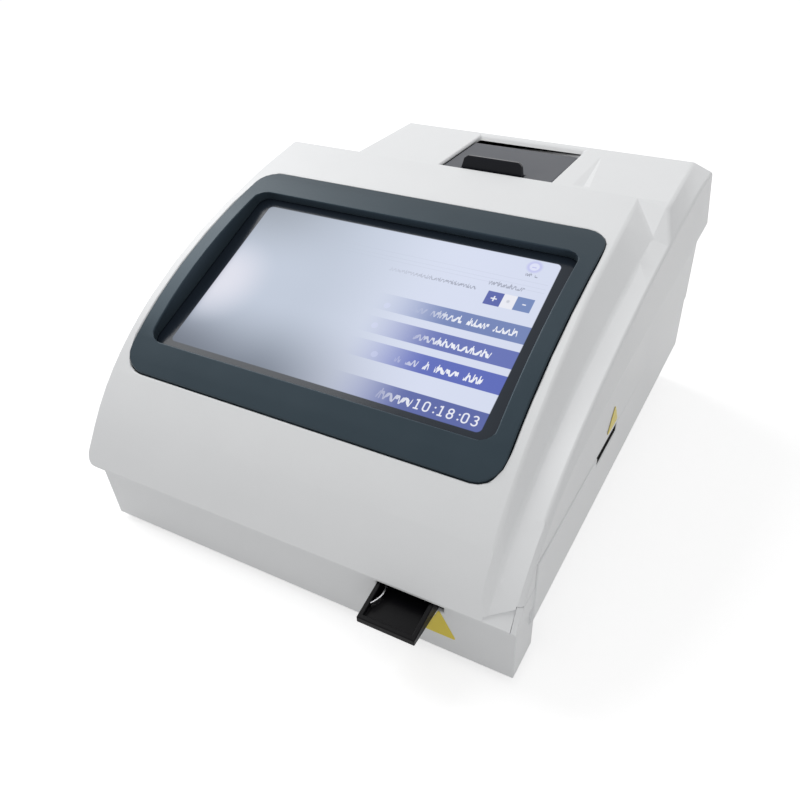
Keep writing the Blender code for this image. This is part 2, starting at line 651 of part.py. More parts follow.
def top_cover():
    """Upper case: curved front, raised hump, facets on the right, notch at the rear left."""
    cover = part("top_cover", case_loft("top_cover", 0, LIP_HEIGHT), WHITE, SOFT_FACETS)
    cut(cover, notch_tool("notch_outside", 0))
    hollow = tool("cover_hollow", case_loft("cover_hollow", WALL, LIP_HEIGHT - CUT_OVER))
    cut(hollow, notch_tool("notch_inside", WALL))
    cut(cover, hollow)

    bm = bmesh.new()
    for x, y in boss_places():
        rod(bm, (x, y, SEAM_HEIGHT), (0, 0, 1), HUMP_HEIGHT, BOSS_RADIUS)
    bosses = tool("cover_bosses", bm)
    combine(bosses, "INTERSECT", tool("boss_limit", case_loft("boss_limit", WALL / 2, LIP_HEIGHT)))
    cut(bosses, notch_tool("notch_halfway", WALL / 2))
    bm = bmesh.new()
    block(bm, WELL_LEFT - WELL_WALL, WELL_RIGHT + WELL_WALL, WELL_REAR - WELL_SLOPE_RUN,
          WELL_REAR + WELL_WALL, HUMP_HEIGHT - WELL_SLOPE_DEPTH - WELL_WALL, HUMP_HEIGHT - WALL / 2)
    rear_wall = tool("well_rear_wall", bm)
    bm = bmesh.new()
    block(bm, -COVER_LEFT + LIP_CORNER, CHEEK_X - WALL, -LIP_OVERHANG + LIP_EDGE, LEDGE_DEPTH, LIP_HEIGHT,
          LIP_HEIGHT + LEDGE_THICK)
    join(cover, bosses, rear_wall, tool("lip_ledge", bm))

    bm = bmesh.new()
    side_cut = LIP_HEIGHT - CUT_OVER
    beyond = CASE_DEPTH + CUT_OVER
    block(bm, -COVER_LEFT - CUT_OVER, -COVER_LEFT + WALL + CUT_OVER, CHEEK_DEPTH - GAP, beyond,
          side_cut, SEAM_HEIGHT)
    block(bm, SIDE_FRONT - WALL - CUT_OVER, BAND_EDGE_REAR + CUT_OVER, CHEEK_DEPTH - GAP, beyond,
          side_cut, SEAM_HEIGHT)
    sides = tool("side_parting", bm)
    bm = bmesh.new()
    block(bm, -COVER_LEFT - CUT_OVER, BAND_EDGE_REAR + CUT_OVER, CASE_DEPTH - WALL - CUT_OVER, beyond,
          side_cut, SEAM_HEIGHT)
    rear = tool("rear_parting", bm)
    cheek = tool("cheek_relief", cheek_block(GAP))
    bm = bmesh.new()
    lip = LIP_HEIGHT + LIP_EDGE
    outside = -LIP_OVERHANG - CUT_OVER
    scoop_rings = []
    for x, top, depth in ((SCOOP_LEFT, SCOOP_LOW, SCOOP_DEPTH_LEFT),
                          (BASE_RIGHT, SCOOP_HIGH, SCOOP_DEPTH_RIGHT)):
        rise = (top - lip) / CURVE_FOOT_RISE
        deep = -LIP_OVERHANG + CURVE_FOOT_RUN * rise + depth
        scoop_rings.append([(x, outside, lip), (x, -LIP_OVERHANG, lip), (x, deep, top), (x, outside, top)])
    loft(bm, scoop_rings)
    scoop = tool("corner_scoop", bm)
    bm = bmesh.new()
    corner = [(-COVER_LEFT - CUT_OVER, LIP_HEIGHT - CUT_OVER),
              (-COVER_LEFT + LIP_CORNER, LIP_HEIGHT - CUT_OVER)]
    for step in range(ARC_STEPS + 1):
        turn = math.radians(90 * step / ARC_STEPS)
        corner.append((-COVER_LEFT + LIP_CORNER - LIP_CORNER * math.sin(turn),
                       LIP_HEIGHT + LIP_CORNER - LIP_CORNER * math.cos(turn)))
    corner.append((-COVER_LEFT - CUT_OVER, LIP_HEIGHT + LIP_CORNER))
    slab(bm, [corner], -CHEEK_DEPTH - CUT_OVER, LIP_OVERHANG + CUT_OVER, FACING)
    round_corner = tool("lip_corner", bm)
    bm = bmesh.new()
    dent_rings = []
    for y, width, depth in ((DENT_FRONT, DENT_WIDTH, DENT_DEPTH),
                            (DENT_REAR, DENT_WIDTH * DENT_END_SHARE, DENT_DEPTH * DENT_END_SHARE)):
        above = HUMP_HEIGHT + CUT_OVER
        dent_rings.append([(DENT_LEFT, y, above), (DENT_LEFT, y, HUMP_HEIGHT),
                           (DENT_LEFT + width * DENT_VALLEY_SHARE, y, HUMP_HEIGHT - depth),
                           (DENT_LEFT + width, y, HUMP_HEIGHT), (DENT_LEFT + width, y, above)])
    loft(bm, dent_rings)
    dent = tool("hump_dent", bm)
    bm = bmesh.new()
    slab(bm, [screen_outline(FRAME_WIDTH, FRAME_BOTTOM, FRAME_TOP, FRAME_FIT, FRAME_CORNER)],
         -FRAME_DEEP, FRAME_DEEP + SCREEN_SINK, SCREEN)
    window = tool("frame_opening", bm)
    bm = bmesh.new()
    low = HUMP_HEIGHT - WELL_SLOPE_DEPTH - WELL_WALL - CUT_OVER
    profile = [(WELL_FRONT, low), (WELL_REAR - WELL_SLOPE_RUN, low),
               (WELL_REAR - WELL_SLOPE_RUN, HUMP_HEIGHT - WELL_SLOPE_DEPTH), (WELL_REAR, HUMP_HEIGHT),
               (WELL_REAR, HUMP_HEIGHT + CUT_OVER), (WELL_FRONT, HUMP_HEIGHT + CUT_OVER)]
    slab(bm, [profile], WELL_LEFT, WELL_RIGHT, SIDEWAYS)
    well = tool("printer_well", bm)
    bm = bmesh.new()
    for x, y in boss_places():
        rod(bm, (x, y, SEAM_HEIGHT - CUT_OVER), (0, 0, 1), CUT_OVER + CASE_SCREW_REACH,
            SCREW_RADIUS + SCREW_CLEAR)
    cut(cover, sides, rear, cheek, scoop, round_corner, window, well, dent, tool("cover_screw_holes", bm))


def base_outline(inset):
    """The lower case seen from the front, with its tapered underside."""
    bottom = FLOOR if inset else 0
    top = SEAM_TOP + (CUT_OVER if inset else 0)
    return [(-BASE_LEFT + UNDERCUT_IN, bottom), (BASE_RIGHT - UNDERCUT_IN, bottom),
            (BASE_RIGHT - inset, UNDERCUT_RISE), (BASE_RIGHT - inset, top),
            (-BASE_LEFT + inset, top), (-BASE_LEFT + inset, UNDERCUT_RISE)]


def band_outline(inset):
    """The front band seen from the front, flaring out on the left to meet the curled-in lip."""
    bottom = FLOOR if inset else 0
    top = SEAM_TOP if inset else LIP_HEIGHT - GAP
    flare = BAND_HALF + BAND_FLARE - inset
    outline = [(-BAND_HALF + inset, bottom), (BAND_HALF - inset, bottom), (BAND_HALF - inset, top),
               (-flare, top)]
    if inset:
        outline.append((-flare, LIP_HEIGHT - GAP))
    return outline


TRAY_TOP = LIP_HEIGHT - 2 * GAP
TRAY_BOTTOM = TRAY_TOP - TRAY_HEIGHT
TRAY_LEFT = TRAY_X - TRAY_WIDTH / 2
TRAY_RIGHT = TRAY_X + TRAY_WIDTH / 2
SWITCH_Z = INLET_Z
REAR_INSIDE = CASE_DEPTH - WALL


ROCKER_AXIS = Vector((SWITCH_X, CASE_DEPTH + GAP, SWITCH_Z))
ROCKER_REACH = SWITCH_HEIGHT / 2 - SWITCH_WALL - 2 * GAP
ROCKER_RISE = ROCKER_REACH * math.sin(ROCKER_TILT)
ROCKER_FACE = REAR_PLATE + ROCKER_PROUD - ROCKER_RISE
ROCKER_SHARES = ((-1, 0, 0), (-0.7, 0, -0.55), (0, 0, -0.97), (0, 1, -0.96), (0, 1, 0), (0, 1, 0.96),
                 (0, 0, 0.97), (-0.7, 0, 0.55))
ROCKER_OUTLINE = [(deep * ROCKER_DEPTH + face * (ROCKER_FACE + abs(high) * ROCKER_RISE), high * ROCKER_REACH)
                  for deep, face, high in ROCKER_SHARES]
REAR_REACH = ROCKER_AXIS.y + max(y * math.cos(ROCKER_TILT) - z * math.sin(ROCKER_TILT)
                                 for y, z in ROCKER_OUTLINE)


def port_places():
    """Rear sockets on the main board: name, middle, width, height."""
    span = BOARD_RIGHT - BOARD_LEFT
    places = [("usb_port_%d" % (i + 1), BOARD_LEFT + span * s, USB_WIDTH, USB_HEIGHT)
              for i, s in enumerate(USB_SHARES)]
    places.append(("network_port", BOARD_LEFT + span * LAN_SHARE, LAN_WIDTH, LAN_HEIGHT))
    places.append(("serial_port", BOARD_LEFT + span * SERIAL_SHARE, SERIAL_WIDTH, SERIAL_HEIGHT))
    return places


def board_corners(left, right, front, rear):
    return [(x, y) for x in (left + POST_INSET, right - POST_INSET)
            for y in (front + POST_INSET, rear - POST_INSET)]


def foot_places():
    inset = UNDERCUT_IN + FOOT_INSET
    return [(side, end, x, y) for end, y in (("front", FOOT_FRONT_Y), ("rear", FOOT_REAR_Y))
            for side, x in (("left", -BASE_LEFT + inset), ("right", BASE_RIGHT - inset))]


def base_shell():
    """Lower case: front band with the tray slot, side walls, floor, posts and screw tubes."""
    bm = bmesh.new()
    slab(bm, [base_outline(0)], -CASE_DEPTH, -CHEEK_DEPTH, FACING)
    base = part("base_shell", bm, WHITE)
    bm = bmesh.new()
    slab(bm, [band_outline(0)], -BAND_DEPTH, 0, FACING)
    band = tool("front_band", bm)
    cheek = tool("front_cheek", cheek_block(0))
    combine(cheek, "INTERSECT", tool("cheek_limit", case_loft("cheek_limit", 0, LIP_HEIGHT - CUT_OVER)))
    join(base, band, cheek)

    bm = bmesh.new()
    slab(bm, [base_outline(WALL)], -REAR_INSIDE, -CHEEK_DEPTH - WALL, FACING)
    cavity = tool("base_cavity", bm)
    bm = bmesh.new()
    slab(bm, [band_outline(WALL)], -BAND_DEPTH - WALL, -WALL, FACING)
    cut(base, cavity, tool("band_cavity", bm))

    bm = bmesh.new()
    under = FLOOR - JOIN
    for x, y in board_corners(BOARD_LEFT, BOARD_RIGHT, BOARD_FRONT, BOARD_REAR):
        rod(bm, (x, y, under), (0, 0, 1), BOARD_HEIGHT - GAP - under, POST_RADIUS)
    for x, y in board_corners(BOARD_LEFT, POWER_RIGHT, POWER_FRONT, POWER_REAR):
        rod(bm, (x, y, under), (0, 0, 1), BOARD_HEIGHT - GAP - under, POST_RADIUS)
    for x, y in boss_places():
        rod(bm, (x, y, under), (0, 0, 1), SEAM_TOP - under, BOSS_RADIUS)
    join(base, tool("base_posts", bm))

    bm = bmesh.new()
    for side, end, x, y in foot_places():
        rod(bm, (x, y, -CUT_OVER), (0, 0, 1), CUT_OVER + FOOT_POCKET, FOOT_RADIUS + GAP, FINE_ROUND)
    for x, y in boss_places():
        rod(bm, (x, y, -CUT_OVER), (0, 0, 1), CUT_OVER + SEAM_TOP - BOSS_SHELF, BOSS_BORE)
    for x, y in board_corners(BOARD_LEFT, BOARD_RIGHT, BOARD_FRONT, BOARD_REAR):
        rod(bm, (x, y, FLOOR), (0, 0, 1), BOARD_HEIGHT, SCREW_RADIUS + SCREW_CLEAR)
    holes = tool("base_holes", bm)
    bm = bmesh.new()
    for x, y in boss_places():
        rod(bm, (x, y, SEAM_TOP - BOSS_SHELF - JOIN), (0, 0, 1), BOSS_SHELF + CUT_OVER,
            SCREW_RADIUS + SCREW_CLEAR)
    bores = tool("base_screw_bores", bm)
    bm = bmesh.new()
    block(bm, TRAY_LEFT - SLOT_SIDE, TRAY_RIGHT + SLOT_SIDE, -CUT_OVER, WALL + CUT_OVER,
          TRAY_BOTTOM - SLOT_UNDER, LIP_HEIGHT + CUT_OVER)
    block(bm, BASE_RIGHT - WALL - CUT_OVER, BASE_RIGHT + CUT_OVER, CARD_Y - CARD_SLOT_LENGTH / 2,
          CARD_Y + CARD_SLOT_LENGTH / 2, SEAM_TOP - CARD_SLOT_HEIGHT, SEAM_TOP + CUT_OVER)
    back = CASE_DEPTH - WALL - CUT_OVER
    beyond = CASE_DEPTH + CUT_OVER
    for name, x, width, height in port_places():
        bottom = BOARD_HEIGHT + BOARD_THICK + GAP
        block(bm, x - width / 2 - PORT_FIT, x + width / 2 + PORT_FIT, back, beyond,
              bottom - PORT_FIT, bottom + height + PORT_FIT)
    block(bm, INLET_X - INLET_WIDTH / 2 - PORT_FIT, INLET_X + INLET_WIDTH / 2 + PORT_FIT, back, beyond,
          INLET_Z - INLET_HEIGHT / 2 - PORT_FIT, INLET_Z + INLET_HEIGHT / 2 + PORT_FIT)
    block(bm, SWITCH_X - SWITCH_WIDTH / 2 - PORT_FIT, SWITCH_X + SWITCH_WIDTH / 2 + PORT_FIT, back, beyond,
          SWITCH_Z - SWITCH_HEIGHT / 2 - PORT_FIT, SWITCH_Z + SWITCH_HEIGHT / 2 + PORT_FIT)
    for i in range(VENT_COUNT):
        x = (BOARD_LEFT + BOARD_RIGHT) / 2 + (i - (VENT_COUNT - 1) / 2) * VENT_PITCH
        block(bm, x - VENT_WIDTH / 2, x + VENT_WIDTH / 2, back, beyond,
              VENT_Z - VENT_HEIGHT / 2, VENT_Z + VENT_HEIGHT / 2)
    cut(base, holes, bores, tool("base_openings", bm))


def feet_and_screws():
    for side, end, x, y in foot_places():
        bm = bmesh.new()
        rod(bm, (x, y, -FOOT_DROP), (0, 0, 1), FOOT_DROP + FOOT_POCKET - GAP, FOOT_RADIUS, FINE_ROUND)
        part("foot_%s_%s" % (end, side), bm, RUBBER, ROUNDED)
    for i, (x, y) in enumerate(boss_places()):
        screw("case_screw_%d" % (i + 1), (x, y, SEAM_TOP - BOSS_SHELF - GAP), 1,
              BOSS_SHELF + CASE_SCREW_REACH - SCREW_CLEAR)
    top = BOARD_HEIGHT + BOARD_THICK + GAP
    for i, (x, y) in enumerate(board_corners(BOARD_LEFT, BOARD_RIGHT, BOARD_FRONT, BOARD_REAR)):
        screw("board_screw_%d" % (i + 1), (x, y, top), -1, top - FLOOR - GAP)


def screw(name, seat, way, shank):
    """A pan-head screw whose head rests on a seat and whose shank runs one way along Z."""
    x, y, z = seat
    bm = bmesh.new()
    rod(bm, (x, y, z), (0, 0, -way), SCREW_HEAD_HEIGHT, SCREW_HEAD_RADIUS)
    made = part(name, bm, STEEL, ROUNDED)
    bm = bmesh.new()
    rod(bm, (x, y, z - way * JOIN), (0, 0, way), shank + JOIN, SCREW_RADIUS)
    join(made, tool(name + "_shank", bm))


def screen_stack():
    """Slate frame along the curve, glass plane, display panel and its sheet bracket."""
    half = FRAME_WIDTH / 2
    places = [i / CURVE_STEPS for i in range(1, CURVE_STEPS)]

    def curved(name, low, high):
        sections = []
        for place in places:
            top = curve_point(place, high)
            bottom = curve_point(place, low)
            left = SCREEN_X - half - FRAME_FIT - CUT_OVER
            right = SCREEN_X + half + FRAME_FIT + CUT_OVER
            sections.append([(left, top.x, top.y), (right, top.x, top.y),
                             (right, bottom.x, bottom.y), (left, bottom.x, bottom.y)])
        made = bmesh.new()
        loft(made, sections)
        return made

    deep = FRAME_DEEP + SCREEN_SINK
    frame = part("screen_bezel", curved("screen_bezel", -FRAME_SKIN, FRAME_PROUD), SLATE, SOFT_FACETS)
    bm = bmesh.new()
    slab(bm, [screen_outline(FRAME_WIDTH, FRAME_BOTTOM, FRAME_TOP, 0, FRAME_CORNER)], -deep, deep, SCREEN)
    combine(frame, "INTERSECT", tool("frame_outline", bm))
    seat = tool("frame_seat", curved("frame_seat", -FRAME_DEEP, -FRAME_SKIN / 2))
    bm = bmesh.new()
    ring = GLASS_MARGIN + SEAT_WIDTH
    slab(bm, [screen_outline(WINDOW_WIDTH, WINDOW_BOTTOM, WINDOW_TOP, ring, WINDOW_CORNER)],
         GAP, deep, SCREEN)
    combine(seat, "INTERSECT", tool("seat_outline", bm))
    join(frame, seat)
    bm = bmesh.new()
    slab(bm, [screen_outline(WINDOW_WIDTH, WINDOW_BOTTOM, WINDOW_TOP, 0, WINDOW_CORNER)],
         -deep, deep, SCREEN)
    window = tool("frame_window", bm)
    bm = bmesh.new()
    slab(bm, [screen_outline(WINDOW_WIDTH, WINDOW_BOTTOM, WINDOW_TOP, ring + GAP, WINDOW_CORNER)],
         -deep, GAP, SCREEN)
    cut(frame, window, tool("glass_pocket", bm))

    bm = bmesh.new()
    slab(bm, [screen_outline(WINDOW_WIDTH, WINDOW_BOTTOM, WINDOW_TOP, GLASS_MARGIN, WINDOW_CORNER)],
         -GLASS_THICK, 0, SCREEN)
    part("touch_glass", bm, GLASS)
    bm = bmesh.new()
    back = -GLASS_THICK - GAP - PANEL_THICK
    middle = (WINDOW_TOP - WINDOW_BOTTOM) / 2
    low_v = middle - PANEL_HEIGHT / 2
    high_v = middle + PANEL_HEIGHT / 2
    slab(bm, [rounded(-PANEL_WIDTH / 2, PANEL_WIDTH / 2, low_v, high_v, GLASS_THICK)],
         back, -GLASS_THICK - GAP, SCREEN)
    part("lcd_panel", bm, STEEL)
    bm = bmesh.new()
    outer = screen_outline(WINDOW_WIDTH, WINDOW_BOTTOM, WINDOW_TOP, ring, WINDOW_CORNER)
    slab(bm, [outer], back - GAP - BRACKET_THICK, 0, SCREEN)
    bracket = part("lcd_bracket", bm, STEEL)
    bm = bmesh.new()
    inner = screen_outline(WINDOW_WIDTH, WINDOW_BOTTOM, WINDOW_TOP, GLASS_MARGIN + GAP, WINDOW_CORNER)
    slab(bm, [inner], back - GAP, CUT_OVER, SCREEN)
    cut(bracket, tool("bracket_hollow", bm))


RACK_FACE = TRAY_LEFT - GAP - RACK_BACK
PITCH_LINE = RACK_FACE - RACK_ROOT_SHARE * GEAR_MODULE
PINION_RADIUS = GEAR_MODULE * TRAY_PINION_TEETH / 2
PINION_X = PITCH_LINE - PINION_RADIUS
RACK_BOTTOM = TRAY_BOTTOM + RACK_RISE


def tray_group():
    """Cassette tray, its rack and spring clip, and the guide, motor and pinion that move it."""
    bm = bmesh.new()
    block(bm, TRAY_LEFT, TRAY_RIGHT, -TRAY_OUT, TRAY_REAR, TRAY_BOTTOM, TRAY_TOP)
    tray = part("cassette_tray", bm, BLACK)
    bm = bmesh.new()
    block(bm, TRAY_LEFT + TRAY_WALL, TRAY_RIGHT - TRAY_WALL, -TRAY_OUT + TRAY_WALL, TRAY_WELL_END,
          TRAY_BOTTOM + TRAY_FLOOR, TRAY_TOP + CUT_OVER)
    well = tool("tray_well", bm)
    bm = bmesh.new()
    slope = [(-TRAY_OUT - CUT_OVER, TRAY_BOTTOM + TRAY_LIP), (-TRAY_OUT, TRAY_BOTTOM + TRAY_LIP),
             (-LIP_OVERHANG / 2, TRAY_TOP), (-LIP_OVERHANG / 2, TRAY_TOP + CUT_OVER),
             (-TRAY_OUT - CUT_OVER, TRAY_TOP + CUT_OVER)]
    slab(bm, [slope], TRAY_LEFT - CUT_OVER, TRAY_RIGHT + CUT_OVER, SIDEWAYS)
    cut(tray, well, tool("tray_slope", bm))

    pitch = math.pi * GEAR_MODULE
    start = PINION_Y - RACK_TEETH_AHEAD * pitch
    taper = math.tan(PRESSURE_ANGLE) * GEAR_MODULE
    half_root = pitch * RACK_TOOTH_SHARE / 2 + taper * RACK_ROOT_SHARE
    half_tip = pitch * RACK_TOOTH_SHARE / 2 - taper * RACK_TIP_SHARE
    tip = PITCH_LINE - RACK_TIP_SHARE * GEAR_MODULE
    outline = [(RACK_FACE + RACK_BACK, start)]
    for tooth in range(RACK_TEETH):
        middle = start + pitch * tooth + pitch / 2
        outline.append((RACK_FACE, middle - half_root))
        outline.append((tip, middle - half_tip))
        outline.append((tip, middle + half_tip))
        outline.append((RACK_FACE, middle + half_root))
    outline.append((RACK_FACE + RACK_BACK, start + pitch * RACK_TEETH))
    bm = bmesh.new()
    slab(bm, [outline], RACK_BOTTOM, RACK_BOTTOM + RACK_HEIGHT)
    part("tray_rack", bm, NYLON)

    bm = bmesh.new()
    inner = TRAY_LEFT + TRAY_WALL + GAP
    front = -CLIP_LENGTH
    leaf = []
    for i in range(CLIP_STEPS + 1):
        leaf.append((inner + CLIP_BOW * math.sin(math.pi * i / CLIP_STEPS), mix(front, 0, i / CLIP_STEPS)))
    leaf += [(x + CLIP_THICK, y) for x, y in reversed(leaf)]
    floor = TRAY_BOTTOM + TRAY_FLOOR + GAP
    slab(bm, [leaf], floor, floor + CLIP_HEIGHT)
    part("cassette_clip", bm, STEEL)

    guide_left = TRAY_LEFT - GUIDE_SIDE
    guide_right = TRAY_RIGHT + GUIDE_SIDE
    plate_top = TRAY_BOTTOM - GAP
    plate_bottom = plate_top - GUIDE_PLATE
    bm = bmesh.new()
    block(bm, guide_left, guide_right, GUIDE_START, GUIDE_END, plate_bottom, plate_top)
    guide = part("tray_guide", bm, NYLON)
    bm = bmesh.new()
    block(bm, guide_left, TRAY_LEFT - GAP, GUIDE_START, GUIDE_END, plate_top - JOIN,
          TRAY_BOTTOM + GUIDE_RIB_LOW)
    block(bm, TRAY_RIGHT + GAP, guide_right, GUIDE_START, GUIDE_END, plate_top - JOIN,
          TRAY_BOTTOM + GUIDE_RIB_HIGH)
    for x in (guide_left, guide_right - GUIDE_LEG):
        for y in (GUIDE_START + GUIDE_LEG_INSET, GUIDE_END - GUIDE_LEG_INSET - GUIDE_LEG):
            block(bm, x, x + GUIDE_LEG, y, y + GUIDE_LEG, FLOOR + GAP, plate_bottom + JOIN)
    join(guide, tool("guide_ribs_and_legs", bm))

    motor_top = plate_bottom - GAP
    bm = bmesh.new()
    block(bm, PINION_X - MOTOR_SIZE / 2, PINION_X + MOTOR_SIZE / 2, PINION_Y - MOTOR_SIZE / 2,
          PINION_Y + MOTOR_SIZE / 2, FLOOR + GAP, motor_top)
    motor = part("tray_motor", bm, STEEL)
    bm = bmesh.new()
    rod(bm, (PINION_X, PINION_Y, motor_top - MOTOR_SHAFT_DEPTH), (0, 0, 1), MOTOR_SHAFT_DEPTH + CUT_OVER,
        SHAFT_RADIUS + SHAFT_CLEAR, FINE_ROUND)
    cut(motor, tool("motor_bore", bm))
    bm = bmesh.new()
    gear_low = RACK_BOTTOM + (RACK_HEIGHT - PINION_THICK) / 2
    place = Matrix.Translation((PINION_X, PINION_Y, 0))
    slab(bm, [gear_outline(TRAY_PINION_TEETH, GEAR_MODULE)], gear_low, gear_low + PINION_THICK, place)
    pinion = part("tray_pinion", bm, NYLON)
    bm = bmesh.new()
    foot = motor_top - MOTOR_SHAFT_DEPTH + GAP
    rod(bm, (PINION_X, PINION_Y, foot), (0, 0, 1), gear_low + PINION_THICK / 2 - foot, SHAFT_RADIUS,
        FINE_ROUND)
    join(pinion, tool("pinion_shaft", bm))
    pivot(pinion, (PINION_X, PINION_Y, gear_low))
    pivot(tray, (TRAY_X, 0, TRAY_BOTTOM))


def reader():
    """Portal over the tray with the optical housing, its lens and the detector board."""
    y0 = OPTIC_Y - OPTIC_LENGTH / 2
    y1 = OPTIC_Y + OPTIC_LENGTH / 2
    left = RACK_FACE - RACK_FREE_SHARE * GEAR_MODULE - OPTIC_LEG
    right = TRAY_RIGHT + GUIDE_SIDE + GEAR_MODULE + OPTIC_LEG
    top = LIP_HEIGHT + OPTIC_CLEAR
    bm = bmesh.new()
    profile = [(left - OPTIC_LEG, FLOOR + GAP), (left, FLOOR + GAP), (left, top), (right, top),
               (right, FLOOR + GAP), (right + OPTIC_LEG, FLOOR + GAP),
               (right + OPTIC_LEG, top + OPTIC_PLATE), (left - OPTIC_LEG, top + OPTIC_PLATE)]
    slab(bm, [profile], -y1, -y0, FACING)
    bracket = part("optical_bracket", bm, STEEL)
    bm = bmesh.new()
    rod(bm, (TRAY_X, OPTIC_Y, top - CUT_OVER), (0, 0, 1), OPTIC_PLATE + 2 * CUT_OVER, LENS_RADIUS + GAP,
        FINE_ROUND)
    cut(bracket, tool("lens_hole", bm))
    seat = top + OPTIC_PLATE + GAP
    bm = bmesh.new()
    block(bm, TRAY_X - HOUSING_WIDTH / 2, TRAY_X + HOUSING_WIDTH / 2, OPTIC_Y - HOUSING_LENGTH / 2,
          OPTIC_Y + HOUSING_LENGTH / 2, seat, seat + HOUSING_HEIGHT)
    part("optical_housing", bm, BLACK)
    bm = bmesh.new()
    rod(bm, (TRAY_X, OPTIC_Y, seat - GAP - LENS_LENGTH), (0, 0, 1), LENS_LENGTH, LENS_RADIUS, FINE_ROUND)
    part("objective_lens", bm, GLASS, ROUNDED)
    bm = bmesh.new()
    roof = seat + HOUSING_HEIGHT + GAP
    wide = HOUSING_WIDTH / 2 + DETECTOR_MARGIN
    deep = HOUSING_LENGTH / 2 + DETECTOR_MARGIN
    block(bm, TRAY_X - wide, TRAY_X + wide, OPTIC_Y - deep, OPTIC_Y + deep, roof, roof + BOARD_THICK)
    part("detector_board", bm, BOARD)


DOOR_TOP = HUMP_HEIGHT - DOOR_SINK
HINGE = Vector((PRINTER_X, HINGE_Y, HUMP_HEIGHT - HINGE_DROP))
DOOR_FRONT = WELL_FRONT + DOOR_SIDE_GAP
DOOR_LEFT = WELL_LEFT + DOOR_SIDE_GAP
DOOR_RIGHT = WELL_RIGHT - DOOR_SIDE_GAP
TUB_LEFT = WELL_LEFT - TUB_SIDE
TUB_RIGHT = WELL_RIGHT + TUB_SIDE
TUB_Y0 = WELL_FRONT - TUB_FRONT
TUB_Y1 = WELL_REAR - WELL_SLOPE_RUN - GAP
TUB_TOP = HUMP_HEIGHT - WALL - GAP
TUB_BOTTOM = TUB_TOP - TUB_DEPTH
PLATEN = Vector((PRINTER_X, DOOR_FRONT + PLATEN_SETBACK,
                 DOOR_TOP - DOOR_THICK - PLATEN_DROP - PLATEN_SHAFT))
PLATEN_LEFT = PRINTER_X - ROLL_SHIFT - PLATEN_LENGTH / 2
PLATEN_RIGHT = PLATEN_LEFT + PLATEN_LENGTH
GEAR_LEFT = PLATEN_RIGHT + DOOR_EAR + 3 * GAP
CENTRE_DISTANCE = PRINTER_MODULE * (PLATEN_TEETH + PRINTER_PINION_TEETH) / 2
LATCH_AXIS = Vector((PRINTER_X - LATCH_X_SHIFT, DOOR_FRONT + LATCH_SETBACK, DOOR_TOP - DOOR_THICK / 2))


